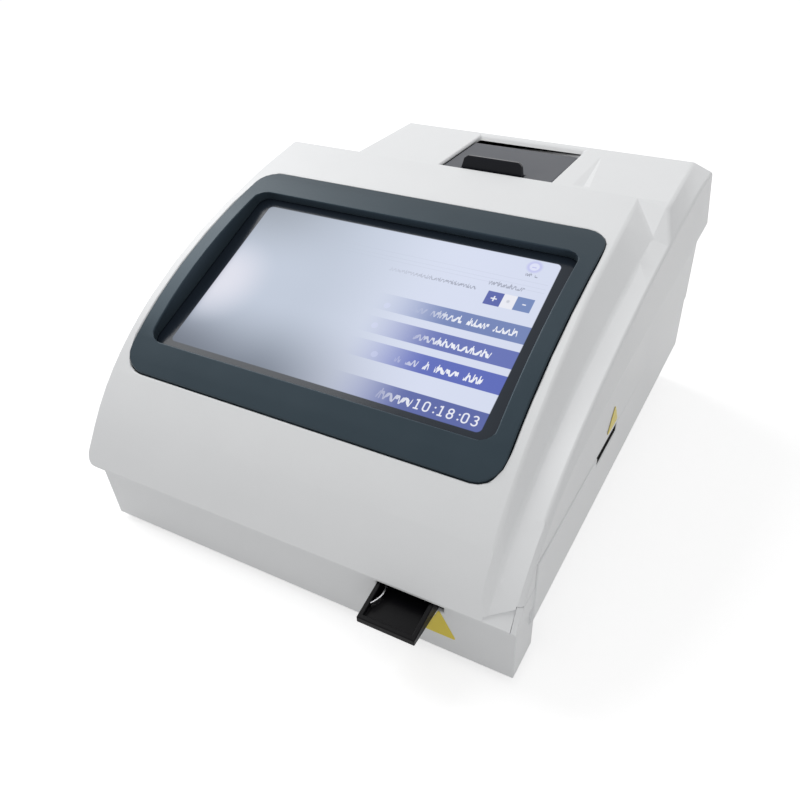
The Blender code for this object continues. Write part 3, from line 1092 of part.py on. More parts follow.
def printer_frame():
    """Open tub under the well: holds the roll, the print head and the ends of the door pin."""
    bm = bmesh.new()
    block(bm, TUB_LEFT, TUB_RIGHT, TUB_Y0, TUB_Y1, TUB_BOTTOM, TUB_TOP)
    frame = part("printer_frame", bm, BLACK)
    bm = bmesh.new()
    block(bm, TUB_LEFT + TUB_WALL, TUB_RIGHT - TUB_WALL, TUB_Y0 + TUB_WALL, TUB_Y1 - TUB_WALL,
          TUB_BOTTOM + TUB_WALL, TUB_TOP + CUT_OVER)
    hollow = tool("tub_hollow", bm)
    cut(frame, hollow)
    bm = bmesh.new()
    ear = DOOR_SIDE_GAP + GAP
    top = HINGE.z + KNUCKLE_RADIUS
    for x0, x1 in ((TUB_LEFT + TUB_WALL - JOIN, DOOR_LEFT - ear),
                   (DOOR_RIGHT + ear, TUB_RIGHT - TUB_WALL + JOIN)):
        block(bm, x0, x1, HINGE.y - KNUCKLE_RADIUS, TUB_Y1 - TUB_WALL + JOIN, TUB_BOTTOM + TUB_WALL - JOIN,
              min(top, TUB_TOP))
    ears = tool("pin_ears", bm)
    bm = bmesh.new()
    block(bm, DOOR_LEFT - ear, DOOR_RIGHT + ear, TUB_Y1 - TUB_WALL - CUT_OVER, TUB_Y1 + CUT_OVER,
          HINGE.z - DOOR_SWING, TUB_TOP + CUT_OVER)
    join(frame, ears)
    cut(frame, tool("door_swing_relief", bm))
    bm = bmesh.new()
    rod(bm, (DOOR_LEFT - ear - PIN_EAR - GAP, HINGE.y, HINGE.z), (1, 0, 0),
        DOOR_RIGHT - DOOR_LEFT + 2 * (ear + PIN_EAR + GAP), PIN_RADIUS + GAP)
    rod(bm, (TUB_RIGHT - TUB_WALL - CUT_OVER, PLATEN.y, PLATEN.z - CENTRE_DISTANCE), (1, 0, 0),
        TUB_WALL + 2 * CUT_OVER, SHAFT_RADIUS + SHAFT_CLEAR)
    cut(frame, tool("frame_bores", bm))
    bm = bmesh.new()
    rod(bm, (DOOR_LEFT - ear - PIN_EAR, HINGE.y, HINGE.z), (1, 0, 0),
        DOOR_RIGHT - DOOR_LEFT + 2 * (ear + PIN_EAR), PIN_RADIUS)
    part("door_pin", bm, STEEL, ROUNDED)
    bm = bmesh.new()
    head_top = PLATEN.z - PLATEN_RADIUS - GAP
    block(bm, PLATEN_LEFT, PLATEN_RIGHT, TUB_Y0 + TUB_WALL + GAP, PLATEN.y + HEAD_DEPTH / 2,
          head_top - HEAD_HEIGHT, head_top)
    part("print_head", bm, STEEL)
    bm = bmesh.new()
    roll_x = PRINTER_X - ROLL_SHIFT
    roll_y = TUB_Y1 - TUB_WALL - KNUCKLE_RADIUS - ROLL_RADIUS
    roll_z = TUB_BOTTOM + TUB_WALL + GAP + ROLL_RADIUS
    rod(bm, (roll_x - ROLL_WIDTH / 2, roll_y, roll_z), (1, 0, 0), ROLL_WIDTH, ROLL_RADIUS, FINE_ROUND)
    roll = part("paper_roll", bm, PAPER, ROUNDED)
    bm = bmesh.new()
    rod(bm, (roll_x - ROLL_WIDTH / 2 - CUT_OVER, roll_y, roll_z), (1, 0, 0), ROLL_WIDTH + 2 * CUT_OVER,
        ROLL_CORE, FINE_ROUND)
    core = tool("roll_core", bm)
    cut(roll, core)
    pivot(roll, (roll_x, roll_y, roll_z))
    bm = bmesh.new()
    motor_x = TUB_RIGHT + GAP
    rod(bm, (motor_x, PLATEN.y, PLATEN.z - CENTRE_DISTANCE), (1, 0, 0), PRINTER_MOTOR_LENGTH,
        PRINTER_MOTOR_RADIUS, FINE_ROUND)
    motor = part("printer_motor", bm, STEEL, ROUNDED)
    bm = bmesh.new()
    rod(bm, (motor_x - CUT_OVER, PLATEN.y, PLATEN.z - CENTRE_DISTANCE), (1, 0, 0),
        CUT_OVER + MOTOR_SHAFT_DEPTH, SHAFT_RADIUS + SHAFT_CLEAR)
    cut(motor, tool("printer_motor_bore", bm))
    place = Matrix.Translation((0, PLATEN.y, PLATEN.z - CENTRE_DISTANCE))
    bm = bmesh.new()
    tooth_turn = Matrix.Rotation(math.pi / 2 + math.pi / PRINTER_PINION_TEETH, 4, "X")
    slab(bm, [gear_outline(PRINTER_PINION_TEETH, PRINTER_MODULE)], GEAR_LEFT,
         GEAR_LEFT + PRINTER_GEAR_WIDTH, place @ tooth_turn @ SIDEWAYS)
    pinion = part("printer_pinion", bm, NYLON)
    bm = bmesh.new()
    rod(bm, (GEAR_LEFT + PRINTER_GEAR_WIDTH / 2, PLATEN.y, PLATEN.z - CENTRE_DISTANCE), (1, 0, 0),
        motor_x + MOTOR_SHAFT_DEPTH - GAP - GEAR_LEFT - PRINTER_GEAR_WIDTH / 2, SHAFT_RADIUS)
    shaft = tool("printer_pinion_shaft", bm)
    join(pinion, shaft)
    pivot(pinion, (PRINTER_X, PLATEN.y, PLATEN.z - CENTRE_DISTANCE))


def printer_door():
    """Grey lid with knuckles at the rear, ears for the platen in front and a bay for the latch lever."""
    half = LATCH_WIDTH / 2
    bm = bmesh.new()
    block(bm, DOOR_LEFT, DOOR_RIGHT, DOOR_FRONT, DOOR_END, DOOR_TOP - DOOR_THICK, DOOR_TOP)
    door = part("printer_door", bm, GREY)
    bm = bmesh.new()
    for x in (DOOR_LEFT, DOOR_RIGHT - KNUCKLE_WIDTH):
        rod(bm, (x, HINGE.y, HINGE.z), (1, 0, 0), KNUCKLE_WIDTH, KNUCKLE_RADIUS, FINE_ROUND)
    knuckles = tool("door_knuckles", bm)
    bm = bmesh.new()
    ear_half = PLATEN_SHAFT + DOOR_EAR
    for x in (PLATEN_LEFT - DOOR_EAR - GAP, PLATEN_RIGHT + GAP):
        block(bm, x, x + DOOR_EAR, PLATEN.y - ear_half, PLATEN.y + ear_half, PLATEN.z - ear_half,
              DOOR_TOP - DOOR_THICK + JOIN)
    join(door, knuckles, tool("door_ears", bm))
    bm = bmesh.new()
    rod(bm, (DOOR_LEFT - CUT_OVER, HINGE.y, HINGE.z), (1, 0, 0), DOOR_RIGHT - DOOR_LEFT + 2 * CUT_OVER,
        PIN_RADIUS + GAP)
    rod(bm, (PLATEN_LEFT - DOOR_EAR - CUT_OVER, PLATEN.y, PLATEN.z), (1, 0, 0),
        PLATEN_LENGTH + 2 * (DOOR_EAR + CUT_OVER), PLATEN_SHAFT + GAP)
    rod(bm, (LATCH_AXIS.x - half - LATCH_PIN_REACH - GAP, LATCH_AXIS.y, LATCH_AXIS.z), (1, 0, 0),
        LATCH_WIDTH + 2 * (LATCH_PIN_REACH + GAP), LATCH_PIN_RADIUS + GAP)
    bores = tool("door_bores", bm)
    bm = bmesh.new()
    block(bm, LATCH_AXIS.x - half - GAP, LATCH_AXIS.x + half + GAP, DOOR_FRONT - CUT_OVER,
          LATCH_AXIS.y + LATCH_SWEEP, DOOR_TOP - DOOR_THICK - CUT_OVER, DOOR_TOP + CUT_OVER)
    cut(door, tool("latch_bay", bm), bores)
    pivot(door, HINGE)

    bm = bmesh.new()
    rod(bm, (PLATEN_LEFT, PLATEN.y, PLATEN.z), (1, 0, 0), PLATEN_LENGTH, PLATEN_RADIUS, FINE_ROUND)
    platen = part("platen_roller", bm, RUBBER, ROUNDED)
    bm = bmesh.new()
    rod(bm, (PLATEN_LEFT - DOOR_EAR - GAP, PLATEN.y, PLATEN.z), (1, 0, 0),
        GEAR_LEFT + PRINTER_GEAR_WIDTH + DOOR_EAR - PLATEN_LEFT, PLATEN_SHAFT)
    join(platen, tool("platen_shaft", bm))
    pivot(platen, PLATEN)
    bm = bmesh.new()
    place = Matrix.Translation((0, PLATEN.y, PLATEN.z))
    turn = Matrix.Rotation(-math.pi / 2, 4, "X")
    slab(bm, [gear_outline(PLATEN_TEETH, PRINTER_MODULE)], GEAR_LEFT, GEAR_LEFT + PRINTER_GEAR_WIDTH,
         place @ turn @ SIDEWAYS)
    gear = part("platen_gear", bm, NYLON)
    bm = bmesh.new()
    rod(bm, (GEAR_LEFT - CUT_OVER, PLATEN.y, PLATEN.z), (1, 0, 0), PRINTER_GEAR_WIDTH + 2 * CUT_OVER,
        PLATEN_SHAFT + GAP)
    cut(gear, tool("gear_bore", bm))
    pivot(gear, PLATEN)

    top_half = LATCH_TOP_WIDTH / 2
    corner = half - top_half
    shape = [(-half, -LATCH_THICK / 2), (half, -LATCH_THICK / 2), (half, LATCH_HEIGHT - 2 * corner),
             (half - corner / 3, LATCH_HEIGHT - corner / 2), (top_half, LATCH_HEIGHT),
             (-top_half, LATCH_HEIGHT), (-half + corner / 3, LATCH_HEIGHT - corner / 2),
             (-half, LATCH_HEIGHT - 2 * corner)]
    bm = bmesh.new()
    lean = Matrix.Translation(LATCH_AXIS) @ Matrix.Rotation(math.pi / 2 - LATCH_LEAN, 4, "X")
    slab(bm, [shape], -LATCH_THICK / 2, LATCH_THICK / 2, lean)
    lever = part("latch_lever", bm, BLACK)
    bm = bmesh.new()
    rod(bm, (LATCH_AXIS.x - half - CUT_OVER, LATCH_AXIS.y, LATCH_AXIS.z), (1, 0, 0),
        LATCH_WIDTH + 2 * CUT_OVER, LATCH_PIN_RADIUS + GAP)
    cut(lever, tool("latch_bore", bm))
    pivot(lever, LATCH_AXIS)
    bm = bmesh.new()
    rod(bm, (LATCH_AXIS.x - half - LATCH_PIN_REACH, LATCH_AXIS.y, LATCH_AXIS.z), (1, 0, 0),
        LATCH_WIDTH + 2 * LATCH_PIN_REACH, LATCH_PIN_RADIUS)
    part("latch_pin", bm, STEEL, ROUNDED)


def boards():
    """Main board with its chips, and the power board with its transformer and capacitor."""
    for name, right, front, rear, lumps in (
            ("main_board", BOARD_RIGHT, BOARD_FRONT, BOARD_REAR, MAIN_BOARD_SHARES),
            ("power_board", POWER_RIGHT, POWER_FRONT, POWER_REAR, POWER_BOARD_SHARES)):
        bm = bmesh.new()
        top = BOARD_HEIGHT + BOARD_THICK
        block(bm, BOARD_LEFT, right, front, rear, BOARD_HEIGHT, top)
        board = part(name, bm, BOARD)
        bm = bmesh.new()
        wide = right - BOARD_LEFT
        deep = rear - front
        for x_share, y_share, wide_share, deep_share, tall in lumps:
            x = BOARD_LEFT + wide * x_share
            y = front + deep * y_share
            block(bm, x - wide * wide_share / 2, x + wide * wide_share / 2, y - deep * deep_share / 2,
                  y + deep * deep_share / 2, top - JOIN, top + CHIP_HEIGHT * tall)
        join(board, tool(name + "_parts", bm))
        if name == "main_board":
            bm = bmesh.new()
            for x, y in board_corners(BOARD_LEFT, right, front, rear):
                rod(bm, (x, y, BOARD_HEIGHT - CUT_OVER), (0, 0, 1), BOARD_THICK + 2 * CUT_OVER,
                    SCREW_RADIUS + SCREW_CLEAR)
            cut(board, tool("board_holes", bm))


def rear_sockets():
    """Sockets that look out through the rear wall, the mains inlet and the power switch."""
    bottom = BOARD_HEIGHT + BOARD_THICK + GAP
    for name, x, width, height in port_places():
        front = CASE_DEPTH + PORT_PROUD - PORT_DEPTH
        bm = bmesh.new()
        block(bm, x - width / 2, x + width / 2, front, front + PORT_DEPTH, bottom, bottom + height)
        port = part(name, bm, STEEL)
        bm = bmesh.new()
        block(bm, x - width / 2 + PORT_WALL, x + width / 2 - PORT_WALL, front + PORT_WALL * 3,
              front + PORT_DEPTH + CUT_OVER, bottom + PORT_WALL, bottom + height - PORT_WALL)
        cut(port, tool(name + "_mouth", bm))
        bm = bmesh.new()
        tongue = width / 2 - 3 * PORT_WALL
        block(bm, x - tongue, x + tongue, front + PORT_WALL, front + PORT_DEPTH - PORT_WALL,
              bottom + height / 2 - PORT_WALL, bottom + height / 2 + PORT_WALL)
        join(port, tool(name + "_tongue", bm))

    outside = CASE_DEPTH + GAP
    bm = bmesh.new()
    block(bm, INLET_X - INLET_WIDTH / 2 - INLET_FLANGE, INLET_X + INLET_WIDTH / 2 + INLET_FLANGE, outside,
          outside + REAR_PLATE, INLET_Z - INLET_HEIGHT / 2 - INLET_FLANGE,
          INLET_Z + INLET_HEIGHT / 2 + INLET_FLANGE)
    inlet = part("power_inlet", bm, BLACK)
    bm = bmesh.new()
    block(bm, INLET_X - INLET_WIDTH / 2, INLET_X + INLET_WIDTH / 2, outside - INLET_DEPTH, outside + JOIN,
          INLET_Z - INLET_HEIGHT / 2, INLET_Z + INLET_HEIGHT / 2)
    body = tool("inlet_body", bm)
    bm = bmesh.new()
    block(bm, INLET_X - INLET_WIDTH / 2 + INLET_WALL, INLET_X + INLET_WIDTH / 2 - INLET_WALL,
          outside - INLET_DEPTH + 2 * INLET_WALL, outside + CUT_OVER,
          INLET_Z - INLET_HEIGHT / 2 + INLET_WALL, INLET_Z + INLET_HEIGHT / 2 - INLET_WALL)
    mouth = tool("inlet_mouth", bm)
    bm = bmesh.new()
    for across, up in ((-1, 0), (0, 1), (1, 0)):
        x = INLET_X + across * BLADE_PITCH
        z = INLET_Z + up * BLADE_STEP
        block(bm, x - BLADE_THICK / 2, x + BLADE_THICK / 2, outside - INLET_DEPTH + INLET_WALL,
              outside - INLET_DEPTH + INLET_WALL + BLADE_LENGTH, z - BLADE_WIDTH / 2, z + BLADE_WIDTH / 2)
    blades = tool("inlet_blades", bm)
    join(inlet, body)
    cut(inlet, mouth)
    join(inlet, blades)

    half_x = SWITCH_WIDTH / 2
    half_z = SWITCH_HEIGHT / 2
    bm = bmesh.new()
    block(bm, SWITCH_X - half_x - SWITCH_FLANGE, SWITCH_X + half_x + SWITCH_FLANGE, outside,
          outside + REAR_PLATE, SWITCH_Z - half_z - SWITCH_FLANGE, SWITCH_Z + half_z + SWITCH_FLANGE)
    frame = part("switch_frame", bm, BLACK)
    bm = bmesh.new()
    block(bm, SWITCH_X - half_x, SWITCH_X + half_x, outside - SWITCH_DEPTH, outside + JOIN,
          SWITCH_Z - half_z, SWITCH_Z + half_z)
    box = tool("switch_box", bm)
    bm = bmesh.new()
    block(bm, SWITCH_X - half_x + SWITCH_WALL, SWITCH_X + half_x - SWITCH_WALL,
          outside - SWITCH_DEPTH + SWITCH_WALL, outside + CUT_OVER, SWITCH_Z - half_z + SWITCH_WALL,
          SWITCH_Z + half_z - SWITCH_WALL)
    join(frame, box)
    cut(frame, tool("switch_mouth", bm))

    bm = bmesh.new()
    place = Matrix.Translation(ROCKER_AXIS) @ Matrix.Rotation(ROCKER_TILT, 4, "X")
    inner = half_x - SWITCH_WALL - GAP
    slab(bm, [ROCKER_OUTLINE], -inner, inner, place @ SIDEWAYS)
    rocker = part("power_rocker", bm, BLACK)
    pivot(rocker, ROCKER_AXIS)

    bm = bmesh.new()
    right = BASE_RIGHT - WALL - GAP
    low = SEAM_TOP - CARD_SLOT_HEIGHT - CARD_WALL
    block(bm, right - CARD_DEPTH, right, CARD_Y - CARD_SLOT_LENGTH / 2 - CARD_WALL,
          CARD_Y + CARD_SLOT_LENGTH / 2 + CARD_WALL, low, SEAM_TOP)
    reader_box = part("card_reader", bm, BLACK)
    half = CARD_SLOT_LENGTH / 2 - GAP
    bottom = SEAM_TOP - CARD_SLOT_HEIGHT + GAP
    face = BASE_RIGHT - CARD_FACE_SETBACK
    bm = bmesh.new()
    block(bm, right - JOIN, face, CARD_Y - half, CARD_Y + half, bottom, SEAM_TOP - GAP)
    join(reader_box, tool("card_nose", bm))
    bm = bmesh.new()
    block(bm, right - CARD_DEPTH + CARD_WALL, face + CUT_OVER, CARD_Y - half + CARD_RIM,
          CARD_Y + half - CARD_RIM, bottom + CARD_RIM, SEAM_TOP - GAP - CARD_RIM)
    cut(reader_box, tool("card_mouth", bm))


top_cover()
base_shell()
feet_and_screws()
screen_stack()
tray_group()
reader()
printer_frame()
printer_door()
boards()
rear_sockets()

# The frame's origin: middle of the footprint, on the surface the feet rest on
SHIFT = Vector(((COVER_LEFT - BAND_EDGE_REAR) / 2, (TRAY_OUT - REAR_REACH) / 2, FOOT_DROP))
origin.location = SHIFT
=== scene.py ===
import math

import bmesh
import bpy
from mathutils import Matrix, Vector


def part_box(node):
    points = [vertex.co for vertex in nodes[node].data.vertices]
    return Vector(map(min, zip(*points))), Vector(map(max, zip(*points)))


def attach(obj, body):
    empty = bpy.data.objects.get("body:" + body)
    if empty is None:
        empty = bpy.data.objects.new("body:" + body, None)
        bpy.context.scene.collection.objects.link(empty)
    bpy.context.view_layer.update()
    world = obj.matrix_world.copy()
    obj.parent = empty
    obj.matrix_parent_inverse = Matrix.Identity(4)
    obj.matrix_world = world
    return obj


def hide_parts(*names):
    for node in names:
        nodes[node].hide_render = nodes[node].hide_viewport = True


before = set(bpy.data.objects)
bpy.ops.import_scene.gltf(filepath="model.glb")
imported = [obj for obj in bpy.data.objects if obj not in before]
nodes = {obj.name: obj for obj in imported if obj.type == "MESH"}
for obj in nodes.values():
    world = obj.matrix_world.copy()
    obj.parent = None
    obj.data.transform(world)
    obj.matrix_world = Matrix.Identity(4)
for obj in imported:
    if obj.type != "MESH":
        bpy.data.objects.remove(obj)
scene = bpy.context.scene
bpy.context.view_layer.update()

# Camera
# The camera stands to the right of the front and looks down on the screen, as the photograph was taken.
camera_azimuth = math.radians(29.569)
camera_elevation = math.radians(35.182)
camera_roll = math.radians(-1.546)
camera_place = (0.184019, -0.338549, 0.305178)
away = Vector((math.sin(camera_azimuth) * math.cos(camera_elevation),
               -math.cos(camera_azimuth) * math.cos(camera_elevation), math.sin(camera_elevation)))
level_right = (-away).cross(Vector((0, 0, 1))).normalized()
level_up = level_right.cross(-away)
camera_right = level_right * math.cos(camera_roll) + level_up * math.sin(camera_roll)
camera_up = level_up * math.cos(camera_roll) - level_right * math.sin(camera_roll)
camera_data = bpy.data.cameras.new("photo_camera")
camera_data.sensor_width = 36
camera_data.lens = 36.484
camera_data.clip_start = 0.02
camera = bpy.data.objects.new("photo_camera", camera_data)
scene.collection.objects.link(camera)
camera.matrix_world = (Matrix.Translation(camera_place)
                       @ Matrix((camera_right, camera_up, away)).transposed().to_4x4())
scene.camera = camera
scene.view_settings.view_transform = "Standard"


# Studio
# A white sweep with even light all round. One large soft box above the left side is mirrored in the
# screen, and a weaker one at the front right opens the shadows.
def node(tree, kind, inputs=(), **settings):
    """A shader node with its settings made and its inputs set or linked."""
    made = tree.nodes.new("ShaderNode" + kind)
    for name, value in settings.items():
        setattr(made, name, value)
    for key, value in dict(inputs).items():
        if isinstance(value, bpy.types.NodeSocket):
            tree.links.new(value, made.inputs[key])
        else:
            made.inputs[key].default_value = value
    return made


def calc(tree, operation, first, second=0.0, clamp=False):
    """The output of one sum."""
    return node(tree, "Math", {0: first, 1: second}, operation=operation, use_clamp=clamp).outputs[0]


def seen_directly(tree):
    """1 for rays that come from the camera, a mirror or glass, and 0 for rays that light things."""
    path = node(tree, "LightPath")
    shiny = calc(tree, "MAXIMUM", path.outputs["Is Glossy Ray"], path.outputs["Is Transmission Ray"])
    return calc(tree, "MAXIMUM", path.outputs["Is Camera Ray"], shiny)


def soft_box(name, place, aim, width, height, radiance):
    """A rectangular lamp that faces the point aim."""
    lamp = bpy.data.lights.new(name, "AREA")
    lamp.shape = "RECTANGLE"
    lamp.size = width
    lamp.size_y = height
    lamp.energy = radiance * math.pi * width * height
    holder = bpy.data.objects.new(name, lamp)
    holder.location = place
    holder.rotation_euler = (Vector(aim) - Vector(place)).to_track_quat("-Z", "Y").to_euler()
    scene.collection.objects.link(holder)


room_light = 0.52
room_seen = 1.0
world = bpy.data.worlds.new("studio")
scene.world = world
world.use_nodes = True
sky = world.node_tree.nodes["Background"]
sky.inputs["Color"].default_value = (1, 1, 1, 1)
sky_level = node(world.node_tree, "MapRange",
                 {"Value": seen_directly(world.node_tree), "To Min": room_light, "To Max": room_seen})
world.node_tree.links.new(sky_level.outputs["Result"], sky.inputs["Strength"])
soft_box("key_box", place=(-1.05, 0.25, 1.15), aim=(0, 0, 0.08), width=1.1, height=1.1, radiance=3.6)
soft_box("fill_box", place=(1.1, -1.3, 0.8), aim=(0, 0, 0.06), width=1.2, height=1.0, radiance=0.7)

floor_size = 12
floor_grey = 0.62
floor_glow = 0.63
bpy.ops.object.select_all(action="DESELECT")
bpy.ops.mesh.primitive_plane_add(size=floor_size, location=(0, 0, 0))
floor = bpy.context.object
floor.name = "floor"
floor_paint = bpy.data.materials.new("floor_paint")
floor_paint.use_nodes = True
floor_tree = floor_paint.node_tree
floor_shader = floor_tree.nodes["Principled BSDF"]
floor_shader.inputs["Base Color"].default_value = (floor_grey, floor_grey, floor_grey, 1)
floor_shader.inputs["Roughness"].default_value = 0.9
floor_shader.inputs["Specular IOR Level"].default_value = 0.0
floor_shader.inputs["Emission Color"].default_value = (1, 1, 1, 1)
floor_tree.links.new(calc(floor_tree, "MULTIPLY", seen_directly(floor_tree), floor_glow),
                     floor_shader.inputs["Emission Strength"])
floor.data.materials.append(floor_paint)

# Base shell
# The lower half of the case, one white ABS moulding with a fine satin grain. The tool rounds its edges,
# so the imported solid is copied, merged and rounded wherever an edge has room for it.
noise_low = 0.3
noise_high = 0.7
grain_depth = 0.0002
merge_distance = 0.000002
crease_angle = 8
round_steps = 3
room_for_two = 2.05


def moulded_grain():
    """Fine tool grain of a moulded or cast surface: a slow change of tone and a fine relief."""
    group = bpy.data.node_groups.new("moulded_grain", "ShaderNodeTree")
    group.interface.new_socket("Grain", in_out="INPUT", socket_type="NodeSocketFloat")
    group.interface.new_socket("Tone", in_out="OUTPUT", socket_type="NodeSocketFloat")
    group.interface.new_socket("Relief", in_out="OUTPUT", socket_type="NodeSocketFloat")
    given = group.nodes.new("NodeGroupInput")
    result = group.nodes.new("NodeGroupOutput")
    place = node(group, "TexCoord").outputs["Object"]
    cloud = node(group, "TexNoise", {"Vector": place, "Scale": 45, "Detail": 3})
    fine = node(group, "TexNoise", {"Vector": place, "Scale": given.outputs["Grain"], "Detail": 2})
    group.links.new(cloud.outputs["Fac"], result.inputs["Tone"])
    group.links.new(fine.outputs["Fac"], result.inputs["Relief"])
    return group


grain_group = moulded_grain()


def finish(name, light, dark, roughness, spread=0.06, grain=1800, relief=0.08, metallic=0.0, coat=0.0,
           specular=0.5, gleam=(1, 1, 1)):
    """A finish whose colour and gloss wander a little, with a fine relief."""
    made = bpy.data.materials.new(name)
    made.use_nodes = True
    tree = made.node_tree
    shader = tree.nodes["Principled BSDF"]
    shader.inputs["Metallic"].default_value = metallic
    shader.inputs["Coat Weight"].default_value = coat
    shader.inputs["Specular IOR Level"].default_value = specular
    shader.inputs["Specular Tint"].default_value = (*gleam, 1)
    surface = tree.nodes.new("ShaderNodeGroup")
    surface.node_tree = grain_group
    surface.inputs["Grain"].default_value = grain
    colour = node(tree, "Mix", {"Factor": surface.outputs["Tone"], "A": (*dark, 1), "B": (*light, 1)},
                  data_type="RGBA")
    gloss = node(tree, "MapRange",
                 {"Value": surface.outputs["Tone"], "From Min": noise_low, "From Max": noise_high,
                  "To Min": roughness - spread / 2, "To Max": roughness + spread / 2})
    bump = node(tree, "Bump",
                {"Height": surface.outputs["Relief"], "Strength": relief, "Distance": grain_depth})
    tree.links.new(colour.outputs["Result"], shader.inputs["Base Color"])
    tree.links.new(gloss.outputs["Result"], shader.inputs["Roughness"])
    tree.links.new(bump.outputs["Normal"], shader.inputs["Normal"])
    return made


def dress(finish_used, *names):
    """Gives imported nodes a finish."""
    for name in names:
        nodes[name].data.materials.clear()
        nodes[name].data.materials.append(finish_used)


def bend(line):
    """The angle in degrees by which the surface turns at an edge."""
    return math.degrees(line.calc_face_angle(0))


def has_room(line, width):
    """True for an edge whose neighbours and faces leave room for a round of this width on both sides."""
    start = line.verts[0].co
    along = (line.verts[1].co - start).normalized()
    nearby = [other.calc_length() for end in line.verts for other in end.link_edges]
    depths = [max((end.co - start).cross(along).length for end in face.verts)
              for face in line.link_faces]
    return min(nearby + depths) > room_for_two * width


def lies_in(line, box):
    """True for an edge inside a box that is given as its low and its high corner."""
    low, high = box
    return all(low[k] < end.co[k] < high[k] for end in line.verts for k in range(3))


def is_crease(line, rounded, blended):
    """True for an edge that stays crisp in the shading."""
    least = rounded if blended and lies_in(line, blended) else crease_angle
    return bend(line) >= least


def pick_edges(piece, wanted):
    """Selects, in edit mode, only the edges that pass a test."""
    bpy.ops.mesh.select_all(action="DESELECT")
    cage = bmesh.from_edit_mesh(piece.data)
    for line in cage.edges:
        if wanted(line):
            line.select_set(True)
    bmesh.update_edit_mesh(piece.data)


def moulding(name, body, finish_used, width, rounded, flat=0.5, blended=None):
    """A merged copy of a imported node, which stands for the node. Faces that turn by less than the angle
    flat are joined. Edges that turn by more than the angle rounded get a round of this width where they
    have room. The rest is shaded smooth, up to the crease angle, or in the box blended up to the angle
    rounded."""
    piece = nodes[name].copy()
    piece.data = nodes[name].data.copy()
    piece.name = name + "_moulding"
    piece.parent = None
    for key in list(piece.keys()):
        del piece[key]
    scene.collection.objects.link(piece)
    bpy.ops.object.select_all(action="DESELECT")
    bpy.context.view_layer.objects.active = piece
    piece.select_set(True)
    bpy.ops.object.mode_set(mode="EDIT")
    bpy.ops.mesh.select_mode(type="EDGE")
    bpy.ops.mesh.select_all(action="SELECT")
    bpy.ops.mesh.remove_doubles(threshold=merge_distance)
    bpy.ops.mesh.select_all(action="SELECT")
    bpy.ops.mesh.dissolve_limited(angle_limit=math.radians(flat))
    bpy.ops.mesh.select_all(action="SELECT")
    bpy.ops.mesh.faces_shade_smooth()
    bpy.ops.mesh.mark_sharp(clear=True)
    pick_edges(piece, lambda line: is_crease(line, rounded, blended))
    bpy.ops.mesh.mark_sharp()
    pick_edges(piece, lambda line: bend(line) > rounded and has_room(line, width))
    bpy.ops.mesh.bevel(offset=width, segments=round_steps, profile=0.5, affect="EDGES",
                       clamp_overlap=False, loop_slide=False)
    bpy.ops.object.mode_set(mode="OBJECT")
    weigh = piece.modifiers.new("weigh", "WEIGHTED_NORMAL")
    weigh.keep_sharp = True
    bpy.ops.object.modifier_apply(modifier="weigh")
    piece.data.materials.clear()
    piece.data.materials.append(finish_used)
    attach(piece, body)
    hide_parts(name)


case_paint = finish("case_satin", (0.83, 0.84, 0.85), (0.80, 0.81, 0.82), 0.42)
moulding("base_shell", "case", case_paint, width=0.0007, rounded=24)

# Feet and screws
# Four round rubber feet pressed into pockets, and zinc plated steel screws that hold the cover and the
# boards.
rubber = finish("foot_rubber", (0.035, 0.035, 0.036), (0.02, 0.02, 0.021), 0.75, grain=2600, relief=0.3)
dress(rubber, "foot_front_left", "foot_front_right", "foot_rear_left", "foot_rear_right")
zinc = finish("zinc_plate", (0.66, 0.67, 0.69), (0.52, 0.53, 0.55), 0.3,
              grain=3200, relief=0.1, metallic=1.0)
for screw in (1, 2, 3, 4):
    dress(zinc, "case_screw_%d" % screw, "board_screw_%d" % screw)

# Circuit boards
# Glass fibre boards under green solder mask: copper tracks show as slightly lighter lines below the mask.
mask_green = (0.012, 0.10, 0.04, 1)
track_green = (0.03, 0.19, 0.08, 1)
tracks_per_metre = 170
track_depth = 0.0001


def board_finish():
    """Green solder mask over copper tracks that run square to each other."""
    made = bpy.data.materials.new("solder_mask")
    made.use_nodes = True
    tree = made.node_tree
    shader = tree.nodes["Principled BSDF"]
    shader.inputs["Roughness"].default_value = 0.35
    place = node(tree, "TexCoord").outputs["Object"]
    tracks = node(tree, "TexVoronoi", {"Vector": place, "Scale": tracks_per_metre},
                  feature="F1", distance="CHEBYCHEV")
    line = node(tree, "ValToRGB", {"Fac": tracks.outputs["Distance"]})
    mask_end, track_start = line.color_ramp.elements
    mask_end.position = 0.42
    mask_end.color = mask_green
    track_start.position = 0.5
    track_start.color = track_green
    bump = node(tree, "Bump",
                {"Height": tracks.outputs["Distance"], "Strength": 0.2, "Distance": track_depth})
    tree.links.new(line.outputs["Color"], shader.inputs["Base Color"])
    tree.links.new(bump.outputs["Normal"], shader.inputs["Normal"])
    return made


dress(board_finish(), "main_board", "power_board", "detector_board")

# Rear sockets
# Tin plated steel shells of the ports, and the mains inlet, switch frame and rocker in black nylon. The
# nylon pieces have small rounds on their edges.
fine_round = 0.0003
fine_angle = 30
tin = finish("tin_plate", (0.60, 0.60, 0.59), (0.45, 0.45, 0.44), 0.34,
             grain=2400, relief=0.15, metallic=1.0)
dress(tin, "usb_port_1", "usb_port_2", "network_port", "serial_port")
socket_black = finish("socket_black", (0.020, 0.020, 0.022), (0.012, 0.012, 0.014), 0.45,
                      grain=2400, relief=0.2, specular=0.3)
moulding("power_inlet", "case", socket_black, fine_round, fine_angle)
moulding("switch_frame", "case", socket_black, fine_round, fine_angle)
moulding("power_rocker", "rocker", socket_black, fine_round, fine_angle)

